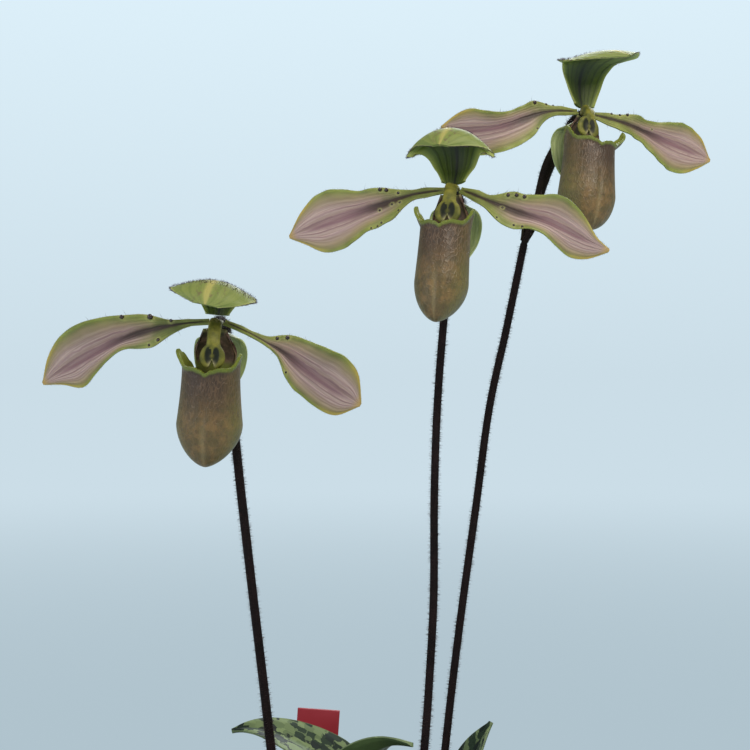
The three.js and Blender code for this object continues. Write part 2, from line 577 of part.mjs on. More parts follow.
const flowers = [
  {
    name: "left", centre: [-37.5, 0, 254], yaw: -7, roll: 3, pitch: 8,
    lip: { halfWidth: 8.35, waist: 0.13, left: { reach: 1.4, lift: -0.6 }, right: { reach: 0, lift: -1.1 } },
    shield: { shift: 1, lift: 0 },
    dorsal: {
      spine: [[2.8, 0.7], [3.6, 4], [3, 7], [0.6, 9.2], [-3, 9], [-6, 6.9], [-7.6, 4.2]],
      width: hood.small, cup: [1.4, 2.2, 2.8, 3.4, 3.6, 2, 0.4],
      flare: 4, lean: 1, turn: -7, slope: -0.13, drift: 0.3, sag: 0,
    },
    petals: {
      left: {
        midrib: midrib([[-2, -0.9], [-12, -2.4], [-21.2, -5.3], [-30, -9.9], [-38.5, -14.7], [-46.5, -19.5]]),
        upper: [0.7, 1, 1.5, 3.8, 5.4, 7.4, 8.8, 8.9, 7.7, 4.9, 0.4],
        lower: [0.9, 0.9, 2.5, 4.4, 3.7, 2.1, 2.8, 4.5, 5.9, 2.8, 0.4],
        twist: [-25, -15, -5, 5, 5, 0], channel: 0.22, ripple: 0.45,
      },
      right: {
        midrib: midrib([[2, -0.9], [9.3, -3.8], [16.4, -7.7], [23.1, -12.3], [29.8, -16.8], [36.8, -20.5]]),
        upper: [0.7, 1, 1.1, 1.9, 4.9, 6.5, 8.2, 9.2, 8.6, 6.4, 0.4],
        lower: [0.9, 0.8, 0.7, 0.8, 1.5, 4, 5.6, 6.2, 6.3, 5.3, 0.4],
        twist: [-40, -45, -20, 5, 5, 0], channel: 0.2, ripple: 0.4,
      },
    },
    ovaryTop: [-37.1, 17, 249], ovaryEnd: [-34.4, 13.5, 229],
    stem: [[-34.4, 13.5, 229], [-32.4, 10.5, 213], [-29.4, 7.6, 190], [-25.5, 4.4, 160], [-22.6, 1.6, 137],
      [-19.6, -0.8, 110], [-17.5, -2, 76]],
    stemRadius: 1.15,
  },
  {
    name: "middle", centre: [21.5, 0, 287.7], yaw: -17, roll: 1.5, pitch: -8,
    lip: { halfWidth: 6.65, waist: 0.06, left: { reach: 1.7, lift: 0.8 }, right: { reach: 0.4, lift: 0 } },
    shield: { shift: 1.1, lift: 0 },
    dorsal: {
      spine: [[2.8, 0.7], [4, 5], [3.4, 9.4], [1, 12.8], [-2.6, 13.4], [-5.6, 11.2], [-7.4, 7.8]],
      width: hood.deep, cup: [1.4, 2.6, 4, 5.8, 6.2, 3.6, 0.4],
      flare: 5, lean: 0, turn: -5, slope: -0.06, drift: -1, sag: 1.6,
    },
    petals: {
      left: {
        midrib: midrib([[-2, -0.9], [-10.7, -2.3], [-19, -4.8], [-27.3, -7.4], [-35.6, -10], [-43.8, -12.2]]),
        upper: [0.8, 1.4, 1.6, 3, 4.7, 5.5, 7.3, 8.4, 7.8, 5, 0.4],
        lower: [1, 1.4, 1.9, 4.9, 5.7, 6.1, 7.5, 7.7, 6.7, 3.4, 0.4],
        twist: [-25, -15, -5, 0, 5, 5], channel: 0.22, ripple: 0.45,
      },
      right: {
        midrib: midrib([[2, -0.9], [9.4, -4], [16.9, -7], [24.5, -9.6], [31.9, -12.8], [39.3, -16]]),
        upper: [0.8, 1.6, 1.7, 4, 4.8, 6.1, 7.3, 6.7, 4.7, 1.8, 0.4],
        lower: [1, 1.5, 2.2, 4.1, 4.6, 3.1, 3, 4.3, 5.3, 4, 0.4],
        twist: [-25, -15, -10, 0, 10, 10], channel: 0.22, ripple: 0.45,
      },
    },
    ovaryTop: [22.4, 12.8, 280], ovaryEnd: [20.6, 11, 259],
    stem: [[20.6, 11, 259], [18.6, 9, 234], [17.6, 5.5, 210], [17.2, 1, 184], [15.6, -4, 160],
      [13.8, -8.5, 138], [13.2, -12.6, 108], [13.5, -15, 76]],
    stemRadius: 1.0,
  },
  {
    name: "right", centre: [61.2, 34, 313.6], yaw: 20, roll: 9, pitch: -6,
    lip: { halfWidth: 7.9, waist: 0.11, left: { reach: 0, lift: -0.3 }, right: { reach: 3.3, lift: 1.5 } },
    shield: { shift: -2.6, lift: 0.8 },
    dorsal: {
      spine: [[2.8, 0.7], [4, 5], [4, 9.8], [2, 13.8], [-2, 15.4], [-6, 15], [-9, 13.6]],
      width: hood.open, cup: [1.4, 2.6, 3.2, 4, 4.2, 2.4, 0.4],
      flare: 4, lean: -6, turn: 10, slope: 0.34, drift: 6.8, sag: -2,
    },
    petals: {
      left: {
        midrib: midrib([[-2, -0.9], [-10, -2.9], [-17.5, -6.4], [-25, -10.3], [-32.6, -13], [-40.8, -13.7]]),
        upper: [0.8, 1.4, 1.9, 3.7, 3.4, 3.2, 4, 5.2, 6, 4.6, 0.4],
        lower: [1, 1.3, 1.5, 2.7, 5.4, 6.3, 6.6, 6.8, 6.4, 4.8, 0.4],
        twist: [-25, -15, -5, 15, 25, 25], channel: 0.22, ripple: 0.45,
      },
      right: {
        midrib: midrib([[2, -0.7], [11.1, -0.9], [19.2, -1.8], [27.2, -2.7], [35.3, -3.6], [43.4, -4.4]]),
        upper: [0.8, 1.6, 2.2, 3.5, 3.3, 4.2, 5.6, 6.7, 6.6, 4.9, 0.4],
        lower: [1, 2.2, 3.2, 3.7, 4, 6.2, 7.5, 7.7, 6.7, 4, 0.4],
        twist: [-25, -15, -5, 5, 5, 0], channel: 0.22, ripple: 0.45,
      },
    },
    ovaryTop: [52, 45, 300], ovaryEnd: [44.6, 43.5, 277],
    stem: [[44.6, 43.5, 277], [39.6, 43, 253], [34.6, 40, 231], [30.4, 36, 203], [26.2, 31, 176],
      [22.6, 26.5, 150], [18.6, 20.5, 116], [15, 17, 76]],
    stemRadius: 1.05,
  },
];

// Ovary: the thick stretch between stem and flower; it bends over behind the flower
const ovary = {
  arc: [[0, 2.2, -1.1], [0, 6.2, -1.2], [0, 10.2, -3.6]],
  radius: [1.15, 1.35, 1.65, 1.8, 1.2, 0.9],
  rows: 12,
  sides: 9,
};
const stem = { rows: 14, sides: 8 };
const bract = { start: 0.8, end: 0.985, wrap: 105, clearance: 0.68, flare: 0.1 };

function flowerPlace(flower) {
  const frame = new THREE.Group();
  frame.position.set(...flower.centre);
  frame.rotation.set(radians(flower.pitch), radians(flower.roll), radians(flower.yaw), "ZYX");
  frame.updateMatrixWorld(true);
  return frame;
}

function stemCurve(flower) {
  return (t) => evenlyPoint(flower.stem, t);
}

function ovaryCurve(flower, frame) {
  const bent = ovary.arc.map((place) => point(...place).applyMatrix4(frame.matrixWorld).toArray());
  const halfway = flower.ovaryTop.map((value, axis) => (value + flower.ovaryEnd[axis]) / 2);
  const places = [...bent, flower.ovaryTop, halfway, flower.ovaryEnd];
  return (t) => evenlyPoint(places, t);
}

function ovaryGeometry(flower, frame) {
  const curve = ovaryCurve(flower, frame);
  const girth = (t) => evenly(ovary.radius, t);
  const sideways = point(1, 0, 0).applyQuaternion(frame.quaternion);
  return barGeometry(curve, girth, girth, ovary.rows, ovary.sides, sideways);
}

function stemGeometry(flower) {
  const curve = stemCurve(flower);
  const down = tangentOf(curve, 0);
  const shortened = (t) => (t === 0 ? curve(0).addScaledVector(down, gap) : curve(t));
  const girth = () => flower.stemRadius;
  return barGeometry(shortened, girth, girth, stem.rows, stem.sides, point(1, 0, 0));
}

// Bract: a pointed sheath wrapped round the back of the ovary's foot
function bractGeometry(flower, frame) {
  const curve = ovaryCurve(flower, frame);
  const sideways = point(1, 0, 0).applyQuaternion(frame.quaternion);
  const surface = (t, s) => {
    const place = lerp(bract.end, bract.start, t);
    const forward = tangentOf(curve, place);
    const across = sideways.clone().addScaledVector(forward, -sideways.dot(forward)).normalize();
    const behind = across.clone().cross(forward);
    const reach = radians(bract.wrap) * Math.sin(Math.PI * (0.22 + 0.76 * t)) ** 0.7;
    const radius = evenly(ovary.radius, place) + bract.clearance + bract.flare * t * t;
    return curve(place).addScaledVector(across, radius * Math.sin(s * reach))
      .addScaledVector(behind, radius * Math.cos(s * reach));
  };
  return bladeGeometry(surface, counts.bract, counts.bract, blade.bract);
}

// The whole object
const orchid = new THREE.Group();
orchid.add(piece("pot", potGeometry(), "potPlastic"));
orchid.add(piece("potting_medium", mediumGeometry(fans), "bark"));
orchid.add(piece("plant_label", labelGeometry(), "labelPlastic"));

fans.forEach((fan) => {
  fan.leaves.forEach((leaf, i) => {
    orchid.add(piece(`leaf_${fan.name}_${i + 1}`, leafGeometry(leaf, fan), "leaf"));
  });
});

flowers.forEach((flower) => {
  const frame = flowerPlace(flower);
  orchid.add(piece(`flower_stem_${flower.name}`, stemGeometry(flower), "stem"));
  orchid.add(piece(`ovary_${flower.name}`, ovaryGeometry(flower, frame), "ovary"));
  orchid.add(piece(`bract_${flower.name}`, bractGeometry(flower, frame), "bract"));
  frame.add(piece(`dorsal_sepal_${flower.name}`, dorsalGeometry(flower.dorsal), "dorsal"));
  frame.add(piece(`synsepal_${flower.name}`, synsepalGeometry(), "synsepal"));
  frame.add(piece(`petal_left_${flower.name}`, petalGeometry(flower.petals.left), "petal"));
  frame.add(piece(`petal_right_${flower.name}`, petalGeometry(flower.petals.right), "petal"));
  frame.add(piece(`lip_${flower.name}`, lipGeometry(flower.lip), "lip"));
  frame.add(piece(`column_${flower.name}`, columnGeometry(flower.shield), "column"));
  orchid.add(frame);
});

export default orchid;
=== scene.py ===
"""Potted slipper orchid: three hairy stems with pouched flowers, mottled leaf fans and a pot of bark.

The CAD frame gives every piece its place. Shapes are worked out in millimetres, in the frame's own axes
(+Z up, the flowers face -Y), and become metres when a mesh is made.
"""

import logging
import math
import random
from dataclasses import dataclass, field
from enum import Enum
from typing import Callable, Iterable, Sequence

import bpy
from mathutils import Matrix, Vector

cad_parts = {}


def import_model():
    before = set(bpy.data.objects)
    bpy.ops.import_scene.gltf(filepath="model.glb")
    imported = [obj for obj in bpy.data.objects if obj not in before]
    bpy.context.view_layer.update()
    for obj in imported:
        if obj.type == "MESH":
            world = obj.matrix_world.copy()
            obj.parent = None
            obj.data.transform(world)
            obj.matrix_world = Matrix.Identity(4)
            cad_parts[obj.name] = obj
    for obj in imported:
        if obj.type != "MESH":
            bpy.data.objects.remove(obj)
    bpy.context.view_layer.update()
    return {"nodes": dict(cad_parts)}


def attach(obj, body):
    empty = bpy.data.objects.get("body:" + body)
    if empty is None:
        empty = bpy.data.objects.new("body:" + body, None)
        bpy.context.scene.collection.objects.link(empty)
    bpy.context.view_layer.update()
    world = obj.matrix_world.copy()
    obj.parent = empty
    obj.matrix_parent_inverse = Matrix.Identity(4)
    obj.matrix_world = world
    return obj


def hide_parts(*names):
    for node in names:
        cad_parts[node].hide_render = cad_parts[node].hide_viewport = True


LOG = logging.getLogger("orchid")
MM = 0.001
BODY = "root"
HORIZON = "#CBDDE7"
ZENITH = "#DDF0FA"

Surface = Callable[[float, float], Vector]
Curve = Callable[[float], Vector]
Numbers = Sequence[float]


# Small mathematics

def evenly(values: Numbers, t: float) -> float:
    """Smooth curve through values that stand at equal steps of t.

    Args:
        values: The values from t = 0 to t = 1.
        t: The place asked for.

    Returns:
        The value there.
    """
    last = len(values) - 1
    place = min(max(t, 0.0), 1.0) * last
    i = min(int(place), last - 1)
    u = place - i

    def slope(j: int) -> float:
        """Rise of the curve at a given value."""
        low, high = max(j - 1, 0), min(j + 1, last)
        return (values[high] - values[low]) / (high - low)

    squared, cubed = u * u, u ** 3
    return (values[i] * (2 * cubed - 3 * squared + 1) + slope(i) * (cubed - 2 * squared + u)
            + values[i + 1] * (3 * squared - 2 * cubed) + slope(i + 1) * (cubed - squared))


def evenly_point(points: Sequence[Numbers], t: float) -> Vector:
    """Smooth path through points that stand at equal steps of t.

    Args:
        points: The points from t = 0 to t = 1.
        t: The place asked for.

    Returns:
        The point there.
    """
    return Vector([evenly([p[axis] for p in points], t) for axis in range(3)])


def tangent_of(curve: Curve, t: float) -> Vector:
    """Direction of a curve.

    Args:
        curve: The curve.
        t: The place asked for, from 0 to 1.

    Returns:
        The unit direction there.
    """
    step = 0.01
    return (curve(min(t + step, 1.0)) - curve(max(t - step, 0.0))).normalized()


def normal_of(surface: Surface, t: float, s: float) -> Vector:
    """Direction that a sheet's own normal points in.

    Args:
        surface: The sheet.
        t: The place along it, from 0 to 1.
        s: The place across it, from -1 to 1.

    Returns:
        The unit direction there.
    """
    step = 0.01
    along = surface(min(t + step, 1), s) - surface(max(t - step, 0), s)
    across = surface(t, min(s + step, 1)) - surface(t, max(s - step, -1))
    return along.cross(across).normalized()


def ramp(low: float, high: float, value: float) -> float:
    """Smooth step from 0 to 1.

    Args:
        low: Where it leaves 0.
        high: Where it reaches 1.
        value: The value asked for.

    Returns:
        A number from 0 to 1.
    """
    share = min(max((value - low) / (high - low), 0.0), 1.0)
    return share * share * (3 - 2 * share)


def through(pairs: Sequence[tuple[float, float]], x: float) -> float:
    """Soft-cornered curve through (x, value) pairs.

    Args:
        pairs: The pairs, in rising x.
        x: The place asked for.

    Returns:
        The value there.
    """
    for (x0, v0), (x1, v1) in zip(pairs, pairs[1:]):
        if x <= x1:
            return v0 + (v1 - v0) * ramp(x0, x1, x)
    return pairs[-1][1]


def turned(pitch: float, roll: float, yaw: float) -> Matrix:
    """Rotation by three angles in degrees: about X first, then Y, then Z."""
    return (Matrix.Rotation(math.radians(yaw), 4, "Z") @ Matrix.Rotation(math.radians(roll), 4, "Y")
            @ Matrix.Rotation(math.radians(pitch), 4, "X"))


# Modelling with Blender's operators

def clear_selection() -> None:
    """Leaves nothing selected, so that an operator acts on its own piece alone."""
    if bpy.context.object and bpy.context.object.mode != "OBJECT":
        bpy.ops.object.mode_set(mode="OBJECT")
    bpy.ops.object.select_all(action="DESELECT")


def choose(piece: bpy.types.Object) -> None:
    """Makes one piece the only selected and active object.

    Args:
        piece: The piece.
    """
    clear_selection()
    piece.select_set(True)
    bpy.context.view_layer.objects.active = piece


def named(piece: bpy.types.Object, name: str) -> bpy.types.Object:
    """Gives a piece and its mesh the same name.

    Args:
        piece: The piece.
        name: The name of both.

    Returns:
        The piece.
    """
    piece.name = name
    piece.data.name = name
    return piece


def with_modifier(piece: bpy.types.Object, kind: str, **settings: object) -> None:
    """Adds one modifier, sets it and applies it to the mesh.

    Args:
        piece: The piece that is changed.
        kind: The modifier's type, such as BEVEL.
        settings: The modifier's properties.
    """
    choose(piece)
    bpy.ops.object.modifier_add(type=kind)
    modifier = piece.modifiers[-1]
    for key, value in settings.items():
        setattr(modifier, key, value)
    bpy.ops.object.modifier_apply(modifier=modifier.name)


def open_faces(piece: bpy.types.Object, test: Callable[[Vector], bool]) -> None:
    """Opens a piece for editing, with only the faces selected whose every corner passes a test.

    Args:
        piece: The piece.
        test: Says of a corner's place whether it passes.
    """
    choose(piece)
    bpy.ops.object.mode_set(mode="EDIT")
    bpy.ops.mesh.select_all(action="DESELECT")
    bpy.ops.object.mode_set(mode="OBJECT")
    for face in piece.data.polygons:
        face.select = all(test(piece.data.vertices[k].co) for k in face.vertices)
    bpy.ops.object.mode_set(mode="EDIT")


def soften(piece: bpy.types.Object, angle: float = 50.0) -> None:
    """Shades a piece smooth, except at edges sharper than an angle in degrees."""
    choose(piece)
    bpy.ops.object.shade_smooth_by_angle(angle=math.radians(angle))


def sheet(name: str, surface: Surface, rows: int, columns: int) -> bpy.types.Object:
    """A grid laid on a surface, with t and s as its UV map.

    The vertex group "body" is full in the middle of the sheet and falls off towards its margins.

    Args:
        name: The piece's name.
        surface: Gives the point in millimetres at t (0 to 1) and s (-1 to 1).
        rows: Steps along t.
        columns: Steps along s.

    Returns:
        The new piece, one face thick.
    """
    clear_selection()
    bpy.ops.mesh.primitive_grid_add(x_subdivisions=rows, y_subdivisions=columns, size=2, calc_uvs=True)
    piece = named(bpy.context.active_object, name)
    body = piece.vertex_groups.new(name="body")
    for vertex in piece.data.vertices:
        t, s = (vertex.co.x + 1) / 2, vertex.co.y
        inside = 1 - ramp(0.72, 1.0, abs(s)) * (1 - ramp(0.98, 1.0, abs(t - 0.5) * 2))
        body.add([vertex.index], inside, "REPLACE")
        vertex.co = surface(t, s) * MM
    return piece


def thicken(piece: bpy.types.Object, thickness: float, offset: float = 0.0, margin: float = 1.0) -> None:
    """Gives a sheet its thickness. The new face takes the piece's second material.

    Args:
        piece: The sheet, already dressed.
        thickness: Its thickness in millimetres.
        offset: 0 for both ways, -1 for inwards.
        margin: The share of the thickness that is left at the margins.
    """
    group = {} if margin == 1.0 else {"vertex_group": "body", "thickness_vertex_group": margin}
    with_modifier(piece, "SOLIDIFY", thickness=thickness * MM, offset=offset, material_offset=1, **group)
    soften(piece)


def close_seams(piece: bpy.types.Object, fill: bool) -> None:
    """Joins a rolled-up sheet along its seam and turns its faces outwards.

    Args:
        piece: The piece.
        fill: Whether open ends are closed.
    """
    choose(piece)
    bpy.ops.object.mode_set(mode="EDIT")
    bpy.ops.mesh.select_all(action="SELECT")
    bpy.ops.mesh.remove_doubles(threshold=1e-6)
    if fill:
        bpy.ops.mesh.fill_holes(sides=0)
    bpy.ops.mesh.select_all(action="SELECT")
    bpy.ops.mesh.normals_make_consistent(inside=False)
    bpy.ops.object.mode_set(mode="OBJECT")


def tube(name: str, curve: Curve, girth: Callable[[float, float], float], rows: int, sides: int,
         sideways: Vector) -> bpy.types.Object:
    """A round bar along a curve.

    Args:
        name: The piece's name.
        curve: The middle line, in millimetres.
        girth: The radius at t and at an angle round the bar.
        rows: Steps along the bar.
        sides: Steps round it.
        sideways: Where the angle starts.

    Returns:
        The new closed piece.
    """
    def surface(t: float, s: float) -> Vector:
        """Point on the bar's skin.

        Args:
            t: 0 at the bar's start, 1 at its end.
            s: Half a turn round it each way, from -1 to 1.

        Returns:
            The point in millimetres.
        """
        forward = tangent_of(curve, t)
        across = (sideways - forward * sideways.dot(forward)).normalized()
        up = forward.cross(across)
        angle = math.pi * s
        radius = girth(t, angle)
        return curve(t) + across * radius * math.cos(angle) + up * radius * math.sin(angle)

    piece = sheet(name, surface, rows, sides)
    close_seams(piece, fill=True)
    return piece


@dataclass(frozen=True)
class Planting:
    """One copy of a small form: where it stands, which way it points and how large it is."""

    root: Vector
    up: Vector
    length: float
    width: float
    lean: Vector = field(default_factory=lambda: Vector((0, 0, 1)))

    def matrix(self) -> Matrix:
        """Turns and sizes a unit form, whose own height and width are 1.

        Returns:
            The matrix, in millimetres.
        """
        up = self.up.normalized()
        side = up.cross(self.lean)
        side = side.normalized() if side.length > 1e-4 else up.orthogonal().normalized()
        other = up.cross(side)
        columns = [side * self.width, other * self.width, up * self.length]
        return Matrix([[columns[c][r] for c in range(3)] for r in range(3)])


def planted(name: str, form: bpy.types.Object, plantings: Iterable[Planting]) -> bpy.types.Object:
    """Many copies of one small form, gathered in one mesh.

    Args:
        name: The new piece's name.
        form: The small form, about 1 unit high and wide. It is taken away afterwards.
        plantings: Where the copies go.

    Returns:
        The new piece.
    """
    corners = [vertex.co.copy() for vertex in form.data.vertices]
    faces = [tuple(polygon.vertices) for polygon in form.data.polygons]
    vertices: list[Vector] = []
    polygons: list[tuple[int, ...]] = []
    for planting in plantings:
        matrix = planting.matrix()
        first = len(vertices)
        vertices.extend((planting.root + matrix @ corner) * MM for corner in corners)
        polygons.extend(tuple(first + k for k in face) for face in faces)
    mesh = bpy.data.meshes.new(name)
    mesh.from_pydata([tuple(v) for v in vertices], [], polygons)
    mesh.update()
    piece = bpy.data.objects.new(name, mesh)
    bpy.context.scene.collection.objects.link(piece)
    bpy.data.objects.remove(form, do_unlink=True)
    return piece


def hair_form(bend: float) -> bpy.types.Object:
    """A three-sided hair, 1 high.

    Args:
        bend: How far its tip bends over, as a share of its height. At 0 it is a plain spike.

    Returns:
        The hair.
    """
    clear_selection()
    bpy.ops.mesh.primitive_cone_add(vertices=3, radius1=1, radius2=0.5 if bend else 0, depth=1,
                                    location=(0, 0, 0.5))
    hair = bpy.context.active_object
    choose(hair)
    bpy.ops.object.transform_apply(location=True)
    if bend:
        open_faces(hair, lambda corner: corner.z > 0.9)
        bpy.ops.mesh.extrude_region_move(TRANSFORM_OT_translate={"value": (0, 0, 1)})
        bpy.ops.mesh.merge(type="CENTER")
        bpy.ops.object.mode_set(mode="OBJECT")
        for vertex in hair.data.vertices:
            vertex.co.z *= 0.5
            vertex.co.y += bend * vertex.co.z ** 2
    return hair


def bead_form() -> bpy.types.Object:
    """A low bead of radius 1, flatter on its sunken side.

    Returns:
        The bead.
    """
    clear_selection()
    bpy.ops.mesh.primitive_uv_sphere_add(segments=16, ring_count=10, radius=1)
    bead = bpy.context.active_object
    for vertex in bead.data.vertices:
        vertex.co.z = vertex.co.z * (1.0 if vertex.co.z > 0 else 0.5)
    return bead


# Shader nodes written as Python expressions

class Signal:
    """A number in a shader that the usual operators combine."""

    def __init__(self, tree: "Tree", socket: object) -> None:
        """Wraps a socket, or a plain number, of one node tree."""
        self.tree = tree
        self.socket = socket

    def maths(self, operation: str, *others: object) -> "Signal":
        """One Math node on this value and others."""
        return self.tree.node("ShaderNodeMath", {"operation": operation}, [self, *others])

    def __add__(self, other: object) -> "Signal":
        """Sum."""
        return self.maths("ADD", other)

    def __sub__(self, other: object) -> "Signal":
        """Difference."""
        return self.maths("SUBTRACT", other)

    def __mul__(self, other: object) -> "Signal":
        """Product."""
        return self.maths("MULTIPLY", other)

    def __truediv__(self, other: object) -> "Signal":
        """Quotient."""
        return self.maths("DIVIDE", other)

    def __rsub__(self, other: object) -> "Signal":
        """A number less this value."""
        return self.tree.node("ShaderNodeMath", {"operation": "SUBTRACT"}, [other, self])

    __radd__ = __add__
    __rmul__ = __mul__

    def size(self) -> "Signal":
        """Value without its sign."""
        return self.maths("ABSOLUTE")

    def wave(self) -> "Signal":
        """Sine, brought to 0 to 1."""
        return self.maths("SINE") * 0.5 + 0.5

    def clipped(self) -> "Signal":
        """Value held between 0 and 1."""
        return self.tree.node("ShaderNodeClamp", {}, [self, 0.0, 1.0])

    def step(self, low: float, high: float) -> "Signal":
        """Smooth step from 0 at low to 1 at high."""
        return self.tree.node("ShaderNodeMapRange", {"interpolation_type": "SMOOTHSTEP"},
                              [self, low, high, 0.0, 1.0])


class Tree:
    """Node tree of one material, or of the world."""

    def __init__(self, name: str, library: object = None) -> None:
        """Makes its owner, with an empty tree.

        Args:
            name: The owner's name.
            library: What the owner is added to: the materials, unless the worlds are given.
        """
        self.owner = (bpy.data.materials if library is None else library).new(name)
        self.owner.use_nodes = True
        self.nodes = self.owner.node_tree.nodes
        self.links = self.owner.node_tree.links
        self.nodes.clear()

    def node(self, kind: str, settings: dict[str, object], values: object, output: int | str = 0) -> Signal:
        """Adds one node.

        Args:
            kind: The node's type.
            settings: Its properties, which are set first.
            values: What goes in its sockets, by order or by name.
            output: The socket that is handed back.

        Returns:
            That socket, wrapped.
        """
        made = self.nodes.new(kind)
        for key, value in settings.items():
            setattr(made, key, value)
        named_values = values.items() if isinstance(values, dict) else enumerate(values)
        for key, value in named_values:
            self.plug(made.inputs[key], value)
        return Signal(self, made.outputs[output] if made.outputs else None)

    def plug(self, socket: bpy.types.NodeSocket, value: object) -> None:
        """Links a signal to a socket, or sets a plain value on it.

        Args:
            socket: The socket.
            value: A signal, a plain value, a colour's code, or None to leave the socket alone.
        """
        value = value.socket if isinstance(value, Signal) else value
        if value is None:
            return
        if isinstance(value, bpy.types.NodeSocket):
            self.links.new(value, socket)
        elif isinstance(value, str):
            socket.default_value = colour(value)
        else:
            socket.default_value = value

    def blend(self, low: object, high: object, share: object) -> Signal:
        """Colour between two colours: the first where the share is 0, the second where it is 1."""
        return self.node("ShaderNodeMix", {"data_type": "RGBA"}, {0: share, 6: low, 7: high}, 2)

    def object_place(self) -> Signal:
        """Place in the object's own axes, in metres."""
        return self.node("ShaderNodeTexCoord", {}, {}, "Object")

    def strip(self) -> tuple[Signal, Signal]:
        """The sheet's own t, 0 to 1 along it, and s, -1 to 1 across it."""
        t, v, _ = self.parts(self.node("ShaderNodeUVMap", {"uv_map": "UVMap"}, {}))
        return t, v * 2.0 - 1.0

    def parts(self, vector: Signal, kind: str = "ShaderNodeSeparateXYZ") -> list[Signal]:
        """The three numbers of a vector, or of a colour.

        Args:
            vector: The vector or colour.
            kind: The node that takes it apart.

        Returns:
            Its three numbers.
        """
        made = self.nodes.new(kind)
        self.plug(made.inputs[0], vector)
        return [Signal(self, output) for output in made.outputs[:3]]

    def mark(self, name: str) -> Signal:
        """A number stored on the mesh's points."""
        return self.node("ShaderNodeAttribute", {"attribute_name": name}, {}, "Fac")

    def vector(self, x: object, y: object) -> Signal:
        """A place on a plane, for patterns that follow a surface."""
        return self.node("ShaderNodeCombineXYZ", {}, [x, y, 0.0])

    def noise(self, place: Signal, scale: float, detail: float = 2.0, roughness: float = 0.5) -> Signal:
        """Soft noise, 0 to 1."""
        return self.node("ShaderNodeTexNoise", {}, {
            "Vector": place, "Scale": scale, "Detail": detail, "Roughness": roughness})

    def cells(self, place: Signal, scale: float, feature: str = "F1", metric: str = "EUCLIDEAN",
              output: str = "Distance", randomness: float = 1.0) -> Signal:
        """Scattered cells.

        Args:
            place: The place that is asked for.
            scale: Cells to one unit of the place.
            feature: What is measured, such as F1 for the nearest cell.
            metric: How distance is measured.
            output: The socket that is handed back.
            randomness: 0 for an even grid, 1 for scattered cells.

        Returns:
            That socket, wrapped.
        """
        settings = {"feature": feature}
        if feature != "DISTANCE_TO_EDGE":
            settings["distance"] = metric
        return self.node("ShaderNodeTexVoronoi", settings, {
            "Vector": place, "Scale": scale, "Randomness": randomness}, output)

    def bump(self, height: Signal, strength: float, distance_mm: float) -> Signal:
        """Surface relief from a height signal."""
        return self.node("ShaderNodeBump", {}, {
            "Strength": strength, "Distance": distance_mm * MM, "Height": height}, "Normal")

    def surface(self, base: object, roughness: object, normal: Signal | None = None,
                **fixed: object) -> bpy.types.Material:
        """Ends the tree in one surface shader.

        Args:
            base: The colour.
            roughness: The roughness.
            normal: The relief.
            fixed: Further sockets by name, with underscores for spaces, each one plain value.

        Returns:
            The finished material.
        """
        values = {"Base Color": base, "Roughness": roughness, "Normal": normal}
        values.update({key.replace("_", " "): value for key, value in fixed.items()})
        shader = self.node("ShaderNodeBsdfPrincipled", {}, values)
        self.node("ShaderNodeOutputMaterial", {}, {"Surface": shader})
        return self.owner


def colour(code: str) -> tuple[float, float, float, float]:
    """Scene-linear colour of a screen colour.

    Args:
        code: The screen colour in hexadecimal, such as #8A9A45.

    Returns:
        Red, green, blue and alpha.
    """
    parts = [int(code[k:k + 2], 16) / 255 for k in (1, 3, 5)]
    linear = [p / 12.92 if p <= 0.04045 else ((p + 0.055) / 1.055) ** 2.4 for p in parts]
    return (*linear, 1.0)


def flesh(weight: float, red: float, green: float, blue: float) -> dict[str, object]:
    """Sockets that let light into a tissue: its share, and each colour's depth in millimetres."""
    return {"Subsurface_Weight": weight, "Subsurface_Scale": 1.0,
            "Subsurface_Radius": (red * MM, green * MM, blue * MM)}


# Finishes

